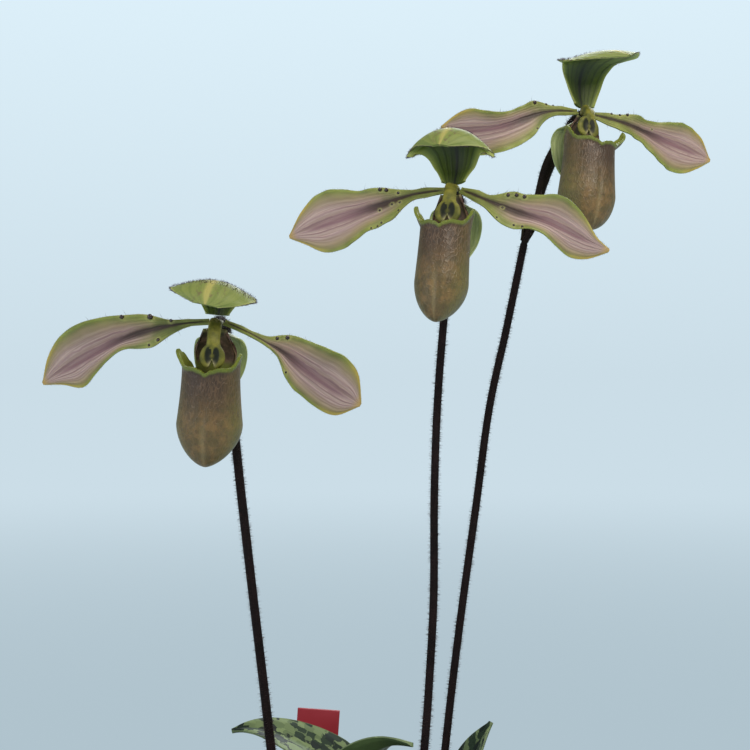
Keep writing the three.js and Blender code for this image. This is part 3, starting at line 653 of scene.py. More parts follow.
@dataclass(frozen=True)
class PetalFinish:
    """Mauve petal with green margins, fine veins and a dark stripe along its midrib."""

    name: str = "petal_face"
    back: bool = False

    def material(self) -> bpy.types.Material:
        """Builds the finish.

        Returns:
            The material.
        """
        tree = Tree(self.name)
        place = tree.object_place()
        t, s = tree.strip()
        edge = s.size()
        cloud = tree.noise(place, 160, 3)
        drift = tree.noise(place, 320, 2)
        fine = tree.noise(tree.vector(t * 3.0, s * 22.0), 1.0, 3, 0.6)
        broad = tree.noise(tree.vector(t * 1.6, s * 7.0), 1.0, 2, 0.5)
        veins = (s * 34.0 + drift * 5.0).wave()
        wobble = (cloud - 0.5) * 0.24
        field = tree.blend("#866E64", "#C3ABA2", (fine * 0.55 + broad * 0.5).step(0.32, 0.72))
        field = tree.blend(field, "#7A5563", veins.step(0.45, 1.0) * (1.0 - edge.step(0.3, 0.8)) * 0.4)
        green = tree.blend("#5F692B", "#93994A", (cloud * 0.7 + fine * 0.35).step(0.3, 0.75))
        green = tree.blend(green, "#4C5A24", veins.step(0.6, 1.0) * 0.3)
        green = tree.blend(green, "#8A7A62", t.step(0.3, 0.6) * (1.0 - edge.step(0.75, 0.95)) * 0.5)
        reach = edge + wobble + (1.0 - t.step(0.3, 0.75)) * 0.14
        outer = (t + wobble * 0.9 + broad * 0.08).step(0.26, 0.5)
        body = tree.blend(green, "#96865F", (1.0 - reach.step(0.66, 0.98)) * outer)
        body = tree.blend(body, field, (1.0 - reach.step(0.42, 0.84)) * outer)
        stripe = tree.blend("#2A1811", "#744A57", t.step(0.38, 0.66))
        width = 0.5 - t.step(0.02, 0.3) * 0.2 - t.step(0.35, 0.8) * 0.13
        core = 1.0 - ((edge + (drift - 0.5) * 0.1) / width).step(0.3, 1.2)
        core = core * (1.0 - t.step(0.8, 0.96)) * t.step(0.0, 0.05)
        body = tree.blend(body, stripe, core * (0.95 - t.step(0.35, 0.75) * 0.35))
        flush = (1.0 - edge.step(0.25, 0.8)) * (1.0 - t.step(0.2, 0.6)) * t.step(0.1, 0.24)
        body = tree.blend(body, "#412821", flush * fine.step(0.4, 0.62) * 0.6)
        body = tree.blend(body, "#8F9C48", edge.step(0.84, 1.0) * 0.55)
        gold = t.step(0.94, 1.0) + t.step(0.72, 0.94) * edge.step(0.74, 0.96)
        body = tree.blend(body, "#BDA04A", gold.clipped() * 0.8)
        body = tree.blend(body, "#A9AB66", tree.mark("halo") * 0.55)
        if self.back:
            body = tree.blend(body, "#8F8A68", 0.4)
        height = veins * 0.5 + fine * 0.6
        return tree.surface(body, fine * 0.18 + 0.42, tree.bump(height, 0.6, 0.14),
                            **flesh(0.08, 2, 1.2, 0.8))


class Hood(Enum):
    """The two faces of a hooded sepal."""

    INSIDE = "hood_inside"
    OUTSIDE = "hood_outside"


@dataclass(frozen=True)
class HoodFinish:
    """Green sepal with darker veins, painted shade in its hollow and a pale keel on its back."""

    face: Hood

    def material(self) -> bpy.types.Material:
        """Builds the finish.

        Returns:
            The material.
        """
        tree = Tree(self.face.value)
        place = tree.object_place()
        t, s = tree.strip()
        edge = s.size()
        drift = tree.noise(place, 260, 2)
        fine = tree.noise(tree.vector(t * 3.0, s * 16.0), 1.0, 3, 0.6)
        veins = (s * 26.0 + drift * 2.5).wave().step(0.5, 1.0)
        if self.face is Hood.INSIDE:
            # Painted shade: the inside is darkest at its middle and lower part, deep in the hollow, and
            # lighter towards the margins and the visor.
            body = tree.blend("#26330A", "#728330", (edge * 0.75 + t.step(0.35, 0.75) * 0.5).clipped())
            body = tree.blend(body, "#28360F", veins * (1.0 - edge.step(0.7, 1.0)) * 0.5)
            # Painted shade: a near-black band down the middle of the lower hollow, where the hood is deepest.
            middle = (1.0 - edge.step(0.03, 0.1)) * (1.0 - t.step(0.3, 0.5))
            body = tree.blend(body, "#161C0A", middle * 0.9)
            body = tree.blend(body, "#A3AC58", edge.step(0.8, 0.98) * 0.75)
        else:
            body = tree.blend("#5E6C2B", "#8A944C", (fine * 0.6 + t.step(0.3, 0.9) * 0.4).clipped())
            body = tree.blend(body, "#5D702E", veins * 0.3)
            body = tree.blend(body, "#74853E", edge.step(0.55, 0.95) * 0.5)
            body = tree.blend(body, "#A9AC66", edge.step(0.9, 1.0) * 0.6)
            body = tree.blend(body, "#B5AB60", (1.0 - (edge + (drift - 0.5) * 0.1).step(0.02, 0.14)) * 0.8)
            speckle = tree.noise(place, 800, 3, 0.7).step(0.52, 0.66)
            near_keel = edge.step(0.04, 0.12) * (1.0 - edge.step(0.2, 0.6))
            body = tree.blend(body, "#6B4A40", speckle * near_keel * 0.6)
            body = tree.blend(body, "#5E3F42", t.step(0.9, 1.0) * speckle * 0.5)
        height = veins * 0.6 + fine * 0.5
        return tree.surface(body, fine * 0.2 + 0.42, tree.bump(height, 0.5, 0.14), **flesh(0.1, 2, 2, 0.8))


@dataclass(frozen=True)
class SynsepalFinish:
    """Pale green sepal with darker veins, behind the pouch."""

    def material(self) -> bpy.types.Material:
        """Builds the finish.

        Returns:
            The material.
        """
        tree = Tree("synsepal_face")
        place = tree.object_place()
        t, s = tree.strip()
        fine = tree.noise(tree.vector(t * 3.0, s * 14.0), 1.0, 3, 0.6)
        drift = tree.noise(place, 240, 2)
        veins = (s * 24.0 + drift * 2.0).wave().step(0.5, 1.0)
        body = tree.blend("#93A26E", "#B6C290", fine.step(0.25, 0.75))
        body = tree.blend(body, "#7C8F58", veins * 0.35)
        body = tree.blend(body, "#6E6A40", (1.0 - t.step(0.0, 0.3)) * 0.4)
        return tree.surface(body, fine * 0.2 + 0.4, tree.bump(veins + fine, 0.4, 0.12),
                            **flesh(0.18, 2, 2, 0.8))


class Pouch(Enum):
    """The two faces of the lip."""

    OUTSIDE = "pouch_outside"
    INSIDE = "pouch_inside"


@dataclass(frozen=True)
class PouchFinish:
    """Brown-olive pouch with a net of pale raised veins and a bright green rim."""

    face: Pouch

    def material(self) -> bpy.types.Material:
        """Builds the finish.

        Returns:
            The material.
        """
        tree = Tree(self.face.value)
        place = tree.object_place()
        t, s = tree.strip()
        front = s.size()
        cloud = tree.noise(place, 130, 3)
        speck = tree.noise(place, 900, 3, 0.7)
        mottle = tree.noise(place, 420, 3, 0.6)
        around, height_mm = tree.mark("around"), tree.mark("height")
        wall = height_mm.step(-12.2, -10.4) * front.step(0.7, 0.78)
        dark = 1.0 - tree.cells(place, 330).step(0.24, 0.5)
        back = tree.blend("#4A322B", "#755647", (mottle * 0.6 + speck * 0.4).step(0.4, 0.6))
        back = tree.blend(back, "#1C100E", dark * height_mm.step(-10.0, -5.0) * 0.95)
        back = tree.blend(back, "#8C8A4E", height_mm.step(-3.6, -2.6) * 0.7)
        if self.face is Pouch.INSIDE:
            body = tree.blend("#7E8636", "#5E6528", cloud.step(0.35, 0.65))
            dots = 1.0 - tree.cells(place, 900).step(0.2, 0.34)
            body = tree.blend(body, "#4A2A24", dots * cloud.step(0.4, 0.6) * 0.5)
            body = tree.blend(body, "#8A9438", t.step(0.86, 0.98) * 0.6)
            body = tree.blend(body, "#4E342B", (1.0 - height_mm.step(-15.0, -12.0)) * 0.7)
            body = tree.blend(body, back, wall * 0.9)
            return tree.surface(body, 0.5, tree.bump(speck, 0.3, 0.1))
        veins = self.net(tree, place, around, height_mm)
        upper = height_mm.step(-28.0, -14.5)
        body = tree.blend("#5E502C", "#7C6238", mottle.step(0.35, 0.65))
        # The upper pouch is painted darker: partly its own darker colour, partly painted shade under the rim.
        body = tree.blend(body, "#38261A", upper * (0.92 - front.step(0.12, 0.42) * 0.3))
        body = tree.blend(body, "#6C6A34", front.step(0.14, 0.42) * (1.0 - upper * 0.7) * 0.7)
        body = tree.blend(body, "#453320", speck.step(0.48, 0.7) * 0.5)
        body = tree.blend(body, "#A48463", veins * (0.05 + upper * 0.14) * cloud.step(0.35, 0.6))
        keel = (1.0 - (front + (mottle - 0.5) * 0.03).step(0.0, 0.05)) * (1.0 - height_mm.step(-30.0, -21.0))
        body = tree.blend(body, "#94845C", keel * 0.4)
        body = tree.blend(body, back, wall)
        rim = t.step(0.962, 0.985) * (1.0 - wall)
        body = tree.blend(body, "#6C7824", rim * 0.95)
        relief = veins * 0.6 + speck * 0.4 + mottle * 0.5
        return tree.surface(body, 0.5 - veins * 0.12, tree.bump(relief, 0.6, 0.16),
                            Coat_Weight=0.06, Coat_Roughness=0.35, **flesh(0.04, 2, 1, 0.6))

    @staticmethod
    def net(tree: Tree, place: Signal, around: Signal, height_mm: Signal) -> Signal:
        """Net of raised veins that run down the pouch.

        Args:
            tree: The material's tree.
            place: The object's own axes.
            around: Millimetres round the pouch from its front.
            height_mm: Millimetres up it.

        Returns:
            1 on a vein, 0 between them.
        """
        warp = (tree.noise(place, 500, 3) - 0.5) * 1.4
        spread = tree.vector(around * 1.2 + warp, height_mm * 0.55 - around.size() * 0.45 + warp)
        return 1.0 - tree.cells(spread, 1.0, "DISTANCE_TO_EDGE").step(0.0, 0.16)


@dataclass(frozen=True)
class ColumnFinish:
    """Waxy yellow-green column whose shield has two dark green patches."""

    def material(self) -> bpy.types.Material:
        """Builds the finish.

        Returns:
            The material.
        """
        tree = Tree("column_wax")
        place = tree.object_place()
        cloud = tree.noise(place, 420, 3)
        streak = tree.noise(place, 1500, 2)
        body = tree.blend("#4F521B", "#7E7A2E", cloud.step(0.3, 0.7))
        body = tree.blend(body, "#4B5620", streak.step(0.5, 0.7) * 0.35)
        body = tree.blend(body, "#B5A877", tree.mark("fuzz") * streak.step(0.4, 0.6) * 0.8)
        body = tree.blend(body, "#0A1204", tree.mark("patch") * 0.97)
        body = tree.blend(body, "#BDB48C", tree.mark("tooth") * 0.8)
        return tree.surface(body, 0.55, tree.bump(streak + cloud, 0.35, 0.12), Specular_IOR_Level=0.3,
                            **flesh(0.06, 1, 1, 0.5))


@dataclass(frozen=True)
class StemFinish:
    """Dark purple-brown skin of stems, ovaries and bracts."""

    name: str
    dark: str
    light: str

    def material(self) -> bpy.types.Material:
        """Builds the finish.

        Returns:
            The material.
        """
        tree = Tree(self.name)
        place = tree.object_place()
        t, s = tree.strip()
        cloud = tree.noise(place, 120, 3)
        grain = tree.noise(tree.vector(t * 60.0, s * 8.0), 1.0, 3, 0.6)
        body = tree.blend(self.dark, self.light, (cloud * 0.6 + grain * 0.5).step(0.35, 0.85))
        return tree.surface(body, grain * 0.2 + 0.6, tree.bump(grain, 0.5, 0.1), Specular_IOR_Level=0.12)


@dataclass(frozen=True)
class HairFinish:
    """Stiff translucent hairs."""

    name: str
    root: str
    tip: str

    def material(self) -> bpy.types.Material:
        """Builds the finish.

        Returns:
            The material.
        """
        tree = Tree(self.name)
        tint = tree.noise(tree.object_place(), 700, 2)
        return tree.surface(tree.blend(self.root, self.tip, tint.step(0.3, 0.7)), 0.5)


@dataclass(frozen=True)
class WartFinish:
    """Shiny maroon-black wart."""

    def material(self) -> bpy.types.Material:
        """Builds the finish.

        Returns:
            The material.
        """
        tree = Tree("wart_gloss")
        speck = tree.noise(tree.object_place(), 2200, 2)
        body = tree.blend("#1C0F0D", "#43261F", speck.step(0.4, 0.7))
        return tree.surface(body, 0.25, tree.bump(speck, 0.3, 0.06), Coat_Weight=0.5, Coat_Roughness=0.15)


class LeafSide(Enum):
    """The two faces of a leaf."""

    UPPER = "leaf_upper"
    UNDER = "leaf_under"


@dataclass(frozen=True)
class LeafFinish:
    """Leaf mottled in pale and dark blue-green blocks above, plain and flushed below."""

    side: LeafSide

    def material(self) -> bpy.types.Material:
        """Builds the finish.

        Returns:
            The material.
        """
        tree = Tree(self.side.value)
        place = tree.object_place()
        along, across = tree.mark("along"), tree.mark("across")
        t, s = tree.strip()
        edge = s.size()
        cloud = tree.noise(place, 70, 3)
        fibre = tree.noise(tree.vector(along * 0.15, across * 3.2), 1.0, 3, 0.6)
        if self.side is LeafSide.UNDER:
            body = tree.blend("#34462B", "#55683F", cloud.step(0.3, 0.7))
            flush = 1.0 - tree.cells(place, 1100).step(0.15, 0.4)
            body = tree.blend(body, "#5A3A44", flush * (1.0 - t.step(0.2, 0.7)) * 0.6)
            return tree.surface(body, 0.5, tree.bump(fibre, 0.4, 0.12), Specular_IOR_Level=0.25)
        shift = (tree.noise(place, 520, 3, 0.6) - 0.5) * 0.9
        block_place = tree.vector(along * 0.42 + shift, across * 0.52 - shift * 0.7)
        blocks = tree.cells(block_place, 1.0, "F1", "CHEBYCHEV", "Color", 0.75)
        tone = tree.parts(blocks, "ShaderNodeSeparateColor")[0]
        ragged = (tree.noise(place, 1300, 3, 0.6) - 0.5) * 0.35
        pale = (tone + ragged + (cloud - 0.5) * 0.5).step(0.48, 0.6)
        body = tree.blend("#16231C", "#75875A", pale)
        body = tree.blend(body, "#33482F", (tone * 23.0).wave().step(0.3, 0.9) * 0.45)
        body = tree.blend(body, "#15211C", fibre.step(0.55, 0.75) * 0.3)
        body = tree.blend(body, "#5A7050", (1.0 - edge.step(0.0, 0.05)) * 0.5)
        body = tree.blend(body, "#6F815C", edge.step(0.96, 1.0) * 0.7)
        body = tree.blend(body, "#858F66", (1.0 - t.step(0.0, 0.16)) * 0.8)
        return tree.surface(body, fibre * 0.2 + 0.44, tree.bump(fibre + pale * 0.25, 0.4, 0.14),
                            Specular_IOR_Level=0.2)


@dataclass(frozen=True)
class BarkFinish:
    """Orchid bark: fibrous brown chunks, paler on their worn edges."""

    def material(self) -> bpy.types.Material:
        """Builds the finish.

        Returns:
            The material.
        """
        tree = Tree("bark_chunks")
        place = tree.object_place()
        tint = tree.noise(place, 55, 2)
        fibre = tree.noise(place, 700, 4, 0.7)
        pores = tree.cells(place, 500)
        body = tree.blend("#33241A", "#77573D", (tint * 0.7 + fibre * 0.45).step(0.35, 0.85))
        body = tree.blend(body, "#9A7D5C", fibre.step(0.6, 0.8) * 0.5)
        body = tree.blend(body, "#1B120D", (1.0 - pores.step(0.1, 0.5)) * 0.4)
        return tree.surface(body, 0.85, tree.bump(fibre + pores * 0.5, 0.8, 0.5))


@dataclass(frozen=True)
class PotFinish:
    """Dark moulded plastic with a fine grain and faint scuffs."""

    def material(self) -> bpy.types.Material:
        """Builds the finish.

        Returns:
            The material.
        """
        tree = Tree("pot_plastic")
        place = tree.object_place()
        grain = tree.noise(place, 2600, 2)
        cloud = tree.noise(place, 28, 4)
        scuff = tree.noise(place, 240, 5, 0.7)
        body = tree.blend("#242728", "#34383A", cloud.step(0.3, 0.7))
        body = tree.blend(body, "#5A5A55", scuff.step(0.62, 0.78) * 0.3)
        return tree.surface(body, cloud * 0.15 + 0.42, tree.bump(grain, 0.35, 0.05))


@dataclass(frozen=True)
class LabelFinish:
    """Red plastic tag, slightly faded and scratched, with nothing written on it."""

    def material(self) -> bpy.types.Material:
        """Builds the finish.

        Returns:
            The material.
        """
        tree = Tree("label_plastic")
        place = tree.object_place()
        fade = tree.noise(place, 45, 3)
        scratch = tree.noise(tree.vector(tree.mark("label_x") * 3.0, tree.mark("label_z") * 0.2), 1.0, 4, 0.7)
        body = tree.blend("#96222F", "#A93744", fade.step(0.3, 0.7))
        body = tree.blend(body, "#B0606A", scratch.step(0.64, 0.8) * 0.35)
        return tree.surface(body, fade * 0.15 + 0.38, tree.bump(scratch, 0.2, 0.05))


@dataclass(frozen=True)
class FloorFinish:
    """Pale ground that passes into the backdrop's own colour far from the pot."""

    near: str = "#D3DEE4"
    middle: str = "#B0C3CD"
    fade: tuple[float, float] = (0.22, 0.5)
    far: tuple[float, float] = (0.5, 2.5)

    def material(self) -> bpy.types.Material:
        """Builds the finish.

        Returns:
            The material.
        """
        tree = Tree("pale_ground")
        place = tree.object_place()
        x, y, _ = tree.parts(place)
        distance = (x * x + y * y).maths("SQRT")
        grain = tree.noise(place, 300, 3)
        ground = tree.node("ShaderNodeBsdfPrincipled", {}, {
            "Base Color": tree.blend(self.near, "#DCE6EA", grain), "Roughness": 0.8})
        tint = tree.blend(self.middle, HORIZON, distance.step(*self.far))
        glow = tree.node("ShaderNodeEmission", {}, {"Color": tint, "Strength": 1.0})
        mixed = tree.node("ShaderNodeMixShader", {}, [distance.step(*self.fade), ground, glow])
        tree.node("ShaderNodeOutputMaterial", {}, {"Surface": mixed})
        return tree.owner


def dress(piece: bpy.types.Object, slot: str, *materials: bpy.types.Material) -> None:
    """Gives a piece its materials and its body.

    Args:
        piece: The piece.
        slot: Not used.
        materials: One material for each of the piece's faces.
    """
    piece.data.materials.clear()
    for material in materials:
        piece.data.materials.append(material)
    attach(piece, BODY)


def store(piece: bpy.types.Object, name: str, values: Iterable[float]) -> None:
    """Stores one number for each of a piece's points.

    Args:
        piece: The piece.
        name: The name that a finish reads the numbers by.
        values: The numbers, in the order of the points.
    """
    attribute = piece.data.attributes.new(name, "FLOAT", "POINT")
    for entry, value in zip(attribute.data, values):
        entry.value = value


def report(piece: bpy.types.Object) -> None:
    """Logs a finished piece's name and its number of faces."""
    LOG.info("%s: %d faces", piece.name, len(piece.data.polygons))


# Flowers

@dataclass(frozen=True)
class Wart:
    """One wart: its place on the petal and its radius in millimetres."""

    t: float
    s: float
    radius: float


@dataclass(frozen=True)
class Petal:
    """A drooping petal: its midrib, half widths at each tenth of its length, and its waves."""

    midrib: tuple[tuple[float, float], ...]
    upper: tuple[float, ...]
    lower: tuple[float, ...]
    twist: tuple[float, ...]
    warts: tuple[Wart, ...]
    channel: float = 0.22
    ripple: float = 0.45
    sweep: tuple[float, ...] = (2.3, 1.7, 2.1, 2.9, 3.8, 4.8)
    thickness: float = 0.7
    rows: int = 84
    columns: int = 30

    def curve(self, t: float) -> Vector:
        """Midrib in the flower's own axes."""
        points = [(x, y, z) for (x, z), y in zip(self.midrib, self.sweep)]
        return evenly_point(points, t)

    def surface(self, t: float, s: float) -> Vector:
        """Petal's middle sheet at t along it and s across it.

        Args:
            t: 0 at the claw, 1 at the tip.
            s: -1 at the lower margin, 1 at the upper one.

        Returns:
            The point in the flower's own axes.
        """
        viewer = Vector((0, -1, 0))
        forward = tangent_of(self.curve, t)
        upward = viewer.cross(forward).normalized()
        if upward.z < 0:
            upward = -upward
        facing = (viewer - forward * viewer.dot(forward)).normalized()
        turn = math.radians(evenly(self.twist, t))
        across = upward * math.cos(turn) + facing * math.sin(turn)
        face = facing * math.cos(turn) - upward * math.sin(turn)
        half = evenly(self.upper if s > 0 else self.lower, t)
        swell = math.sin(math.pi * min(t * 1.15, 1.0))
        channel = self.channel * half * s * s * swell
        phase = 0.6 if s > 0 else 2.4
        ripple = self.ripple * abs(s) ** 3 * math.sin(21 * t + phase) * math.sin(math.pi * t)
        frill = 0.2 * abs(s) ** 5 * math.sin(57 * t + 2 * phase) * math.sin(math.pi * t)
        keel = -0.22 * math.exp(-(s * half / 0.55) ** 2) * (1 - t)
        return self.curve(t) + across * s * half + face * (channel + ripple + frill + keel)

    def facing(self, t: float, s: float) -> Vector:
        """Direction that the petal's front faces at a place, in the flower's own axes."""
        normal = normal_of(self.surface, t, s)
        return normal if normal.y < 0 else -normal


@dataclass(frozen=True)
class Dorsal:
    """The hooded upper sepal: its spine, half widths, hollow and the lean of its visor."""

    spine: tuple[tuple[float, float], ...]
    cup: tuple[float, ...]
    flare: float
    lean: float
    turn: float
    slope: float
    drift: float
    sag: float
    width: tuple[float, ...]
    thickness: float = 0.7
    rows: int = 64
    columns: int = 40

    def curve(self, t: float) -> Vector:
        """Midline in the flower's own axes, before it leans."""
        return evenly_point([(0, y, z) for y, z in self.spine], t)

    def surface(self, t: float, s: float) -> Vector:
        """Sepal's middle sheet at t along it and s across it.

        Args:
            t: 0 at the base, 1 at the visor's point.
            s: -1 at the viewer's left margin, 1 at the right one.

        Returns:
            The point in the flower's own axes.
        """
        forward = tangent_of(self.curve, t)
        inner = Vector((0, -forward.z, forward.y))
        half = evenly(self.width, t)
        cup = evenly(self.cup, t) * s * s
        flare = self.flare * math.sin(math.pi * t) * max(0.0, abs(s) - 0.6) ** 2
        wave = 0.18 * abs(s) ** 4 * math.sin(19 * t + s) * math.sin(math.pi * t)
        place = Vector((s * half, 0, 0)) + self.curve(t) + inner * (cup - flare + wave)
        place.z += self.slope * place.x * t - self.sag * s ** 4 * math.sin(math.pi * t)
        place.x += self.drift * t ** 3
        return turned(0, self.lean, self.turn) @ place


@dataclass(frozen=True)
class Ear:
    """One ear of the pouch: how far it reaches out and is lifted, in millimetres."""

    reach: float
    lift: float


@dataclass(frozen=True)
class Lip:
    """The pouch: an open sack with a notched rim, an ear on each side and a wall behind the column."""

    half_width: float
    waist: float
    left: Ear
    right: Ear
    half_depth: float = 7.3
    bottom: float = -36.3
    widest: float = -26
    rim: float = -11.2
    wall_top: float = -2.5
    thickness: float = 0.7
    margin: tuple[tuple[float, float], ...] = (
        (0, -12.5), (12, -11.7), (27, -11.2), (42, -11.3), (54, -11.2), (65, -10.5), (75, -9.2), (85, -7.8),
        (94, -7.1), (106, -8.4), (120, -11), (134, -13), (142, -2.6), (160, -2.5), (180, -2.5))
    rows: int = 84
    columns: int = 144

    def place(self, angle: float, z: float, ear: Ear) -> Vector:
        """Point of the outer face.

        Args:
            angle: Degrees from the front, 0 to 180.
            z: The height in the flower's own axes.
            ear: The ear of this side.

        Returns:
            The point, on the side where x is positive.
        """
        fall = min(max((self.widest - z) / (self.widest - self.bottom), 0), 1)
        close = (1 - fall ** 1.9) ** 0.65
        waist = min(max((z - self.widest) / (self.rim - self.widest), 0), 1)
        narrow = 1 - self.waist * math.sin(math.pi * 0.5 * waist)
        half_width = self.half_width * close * narrow
        half_depth = self.half_depth * close * (1 - 0.14 * waist)
        middle = -2.8 - 0.8 * (1 - waist) - 3.6 * fall * fall
        above = min(max((z - self.rim) / (self.wall_top - self.rim), 0), 1)
        wall = above if angle > 139 else 0
        raised = min(max((z - self.margin[0][1] - 0.5) / 5.5, 0), 1)
        reach = ear.reach * math.exp(-((angle - 90) / 28) ** 2) * math.sin(math.pi * 0.6 * raised)
        bulge = 0.2 * math.sin(math.pi * min(wall * 1.4, 1)) - 0.32 * wall * wall
        spread = 1 + (reach / half_width if half_width > 0.01 else 0) + bulge
        turn = math.radians(angle)
        back = half_depth * math.cos(turn)
        return Vector((half_width * spread * math.sin(turn), middle - back - 1.9 * wall ** 1.4, z))

    def top(self, angle: float, ear: Ear) -> float:
        """Height of the rim at an angle from the front."""
        return through(self.margin, angle) + ear.lift * math.exp(-((angle - 92) / 16) ** 2)

    def surface(self, t: float, s: float) -> Vector:
        """Outer face at t from the bottom to the rim and s round from the front.

        Args:
            t: 0 at the bottom, 1 at the rim.
            s: 0 at the front, -1 and 1 at the back.

        Returns:
            The point in the flower's own axes.
        """
        angle = abs(s) * 180
        ear = self.right if s > 0 else self.left
        height = self.bottom + (self.top(angle, ear) - self.bottom) * t ** 1.35
        place = self.place(angle, height, ear)
        front = 1 - ramp(120, 135, angle)
        roll = ramp(0.95, 1.0, t) * front
        turn = math.radians(angle)
        out = Vector((math.sin(turn), -math.cos(turn), 0))
        crease = 0.22 * math.exp(-(angle / 5) ** 2) * ramp(0.1, 0.5, t) * (1 - ramp(0.6, 0.95, t))
        place += out * (0.45 * roll - crease)
        if s < 0:
            place.x = -place.x
        return place


@dataclass(frozen=True)
class Column:
    """Short shaft in the flower's middle, with a notched shield on its front."""

    shift: float = 0
    lift: float = 0
    spine: tuple[tuple[float, float, float], ...] = (
        (0, 1.7, -0.9), (0, -0.6, -1), (0, -3, -2.6), (0, -4.8, -5), (0, -5.6, -7))
    width: tuple[float, ...] = (1.7, 1.7, 1.6, 1.6, 2.0)
    depth: tuple[float, ...] = (1.0, 1.1, 1.1, 1.0, 0.6)
    shield_width: float = 6.4
    shield_height: float = 6.6
    shield_thickness: float = 1.2
    shield_centre: tuple[float, float, float] = (0, -5.9, -8.6)
    shield_tilt: float = -8
    notch_depth: float = 2.1

    def curve(self, t: float) -> Vector:
        """Middle of the shaft, which leans to one side towards the shield."""
        return evenly_point(self.spine, t) + Vector((self.shift, 0, self.lift)) * t

    def centre(self) -> Vector:
        """Middle of the shield."""
        return Vector(self.shield_centre) + Vector((self.shift, 0, self.lift))


@dataclass(frozen=True)
class Flower:
    """One flower: the place of its column's foot, its turns, and its own forms."""

    name: str
    centre: tuple[float, float, float]
    yaw: float
    roll: float
    pitch: float
    dorsal: Dorsal
    left: Petal
    right: Petal
    lip: Lip
    stem: tuple[tuple[float, float, float], ...]
    stem_radius: float
    ovary_top: tuple[float, float, float]
    column: Column = Column()

    def pose(self) -> Matrix:
        """From the flower's own axes to the frame's, in millimetres."""
        return Matrix.Translation(self.centre) @ turned(self.pitch, self.roll, self.yaw)


HOOD_SMALL = (1.4, 2.2, 2.8, 3.4, 3.6, 2, 0.4)
HOOD_DEEP = (1.4, 2.6, 4, 5.8, 6.2, 3.6, 0.4)
HOOD_OPEN = (1.4, 2.6, 3.2, 4, 4.2, 2.4, 0.4)
WIDTH_SMALL = (3, 4.4, 5.6, 6.6, 7.8, 9.6, 10.8, 11.1, 10.4, 8.4, 3.2)
WIDTH_DEEP = (3, 4.3, 5.5, 6.5, 7.6, 9.4, 11, 11.4, 10, 6.9, 2)
WIDTH_OPEN = (3.4, 5, 6.4, 7.6, 9, 11, 12.8, 13.1, 10.8, 6.2, 0.7)

LEFT_FLOWER = Flower(
    name="left", centre=(-37.5, 0, 254), yaw=-7, roll=3, pitch=8,
    lip=Lip(8.35, 0.13, Ear(1.4, -0.6), Ear(0, -1.1)), column=Column(shift=1),
    dorsal=Dorsal(
        spine=((2.8, 0.7), (3.6, 4), (3, 7), (0.6, 9.2), (-3, 9), (-6, 6.9), (-7.6, 4.2)),
        cup=HOOD_SMALL, flare=4, lean=1, turn=-7, slope=-0.13, drift=0.3, sag=0, width=WIDTH_SMALL),
    left=Petal(
        midrib=((-2, -0.9), (-12, -2.4), (-21.2, -5.3), (-30, -9.9), (-38.5, -14.7), (-46.5, -19.5)),
        upper=(0.7, 1, 1.5, 3.8, 5.4, 7.4, 8.8, 8.9, 7.7, 4.9, 0.4),
        lower=(0.9, 0.9, 2.5, 4.4, 3.7, 2.1, 2.8, 4.5, 5.9, 2.8, 0.4),
        twist=(-25, -15, -5, 5, 5, 0),
        warts=(Wart(0.19, 0.8, 0.45), Wart(0.29, 0.9, 0.75), Wart(0.42, 0.95, 0.6), Wart(0.27, -0.8, 0.5),
               Wart(0.33, -0.85, 0.35))),
    right=Petal(
        midrib=((2, -0.9), (9.3, -3.8), (16.4, -7.7), (23.1, -12.3), (29.8, -16.8), (36.8, -20.5)),
        upper=(0.7, 1, 1.1, 1.9, 4.9, 6.5, 8.2, 9.2, 8.6, 6.4, 0.4),
        lower=(0.9, 0.8, 0.7, 0.8, 1.5, 4, 5.6, 6.2, 6.3, 5.3, 0.4),
        twist=(-40, -45, -20, 5, 5, 0), channel=0.2, ripple=0.4,
        warts=(Wart(0.34, 0.8, 0.45), Wart(0.39, 0.85, 0.55), Wart(0.5, -0.85, 0.3))),
    ovary_top=(-37.1, 17, 249), stem_radius=1.15,
    stem=((-34.4, 13.5, 229), (-32.4, 10.5, 213), (-29.4, 7.6, 190), (-25.5, 4.4, 160), (-22.6, 1.6, 137),
          (-19.6, -0.8, 110), (-17.5, -2, 76)))

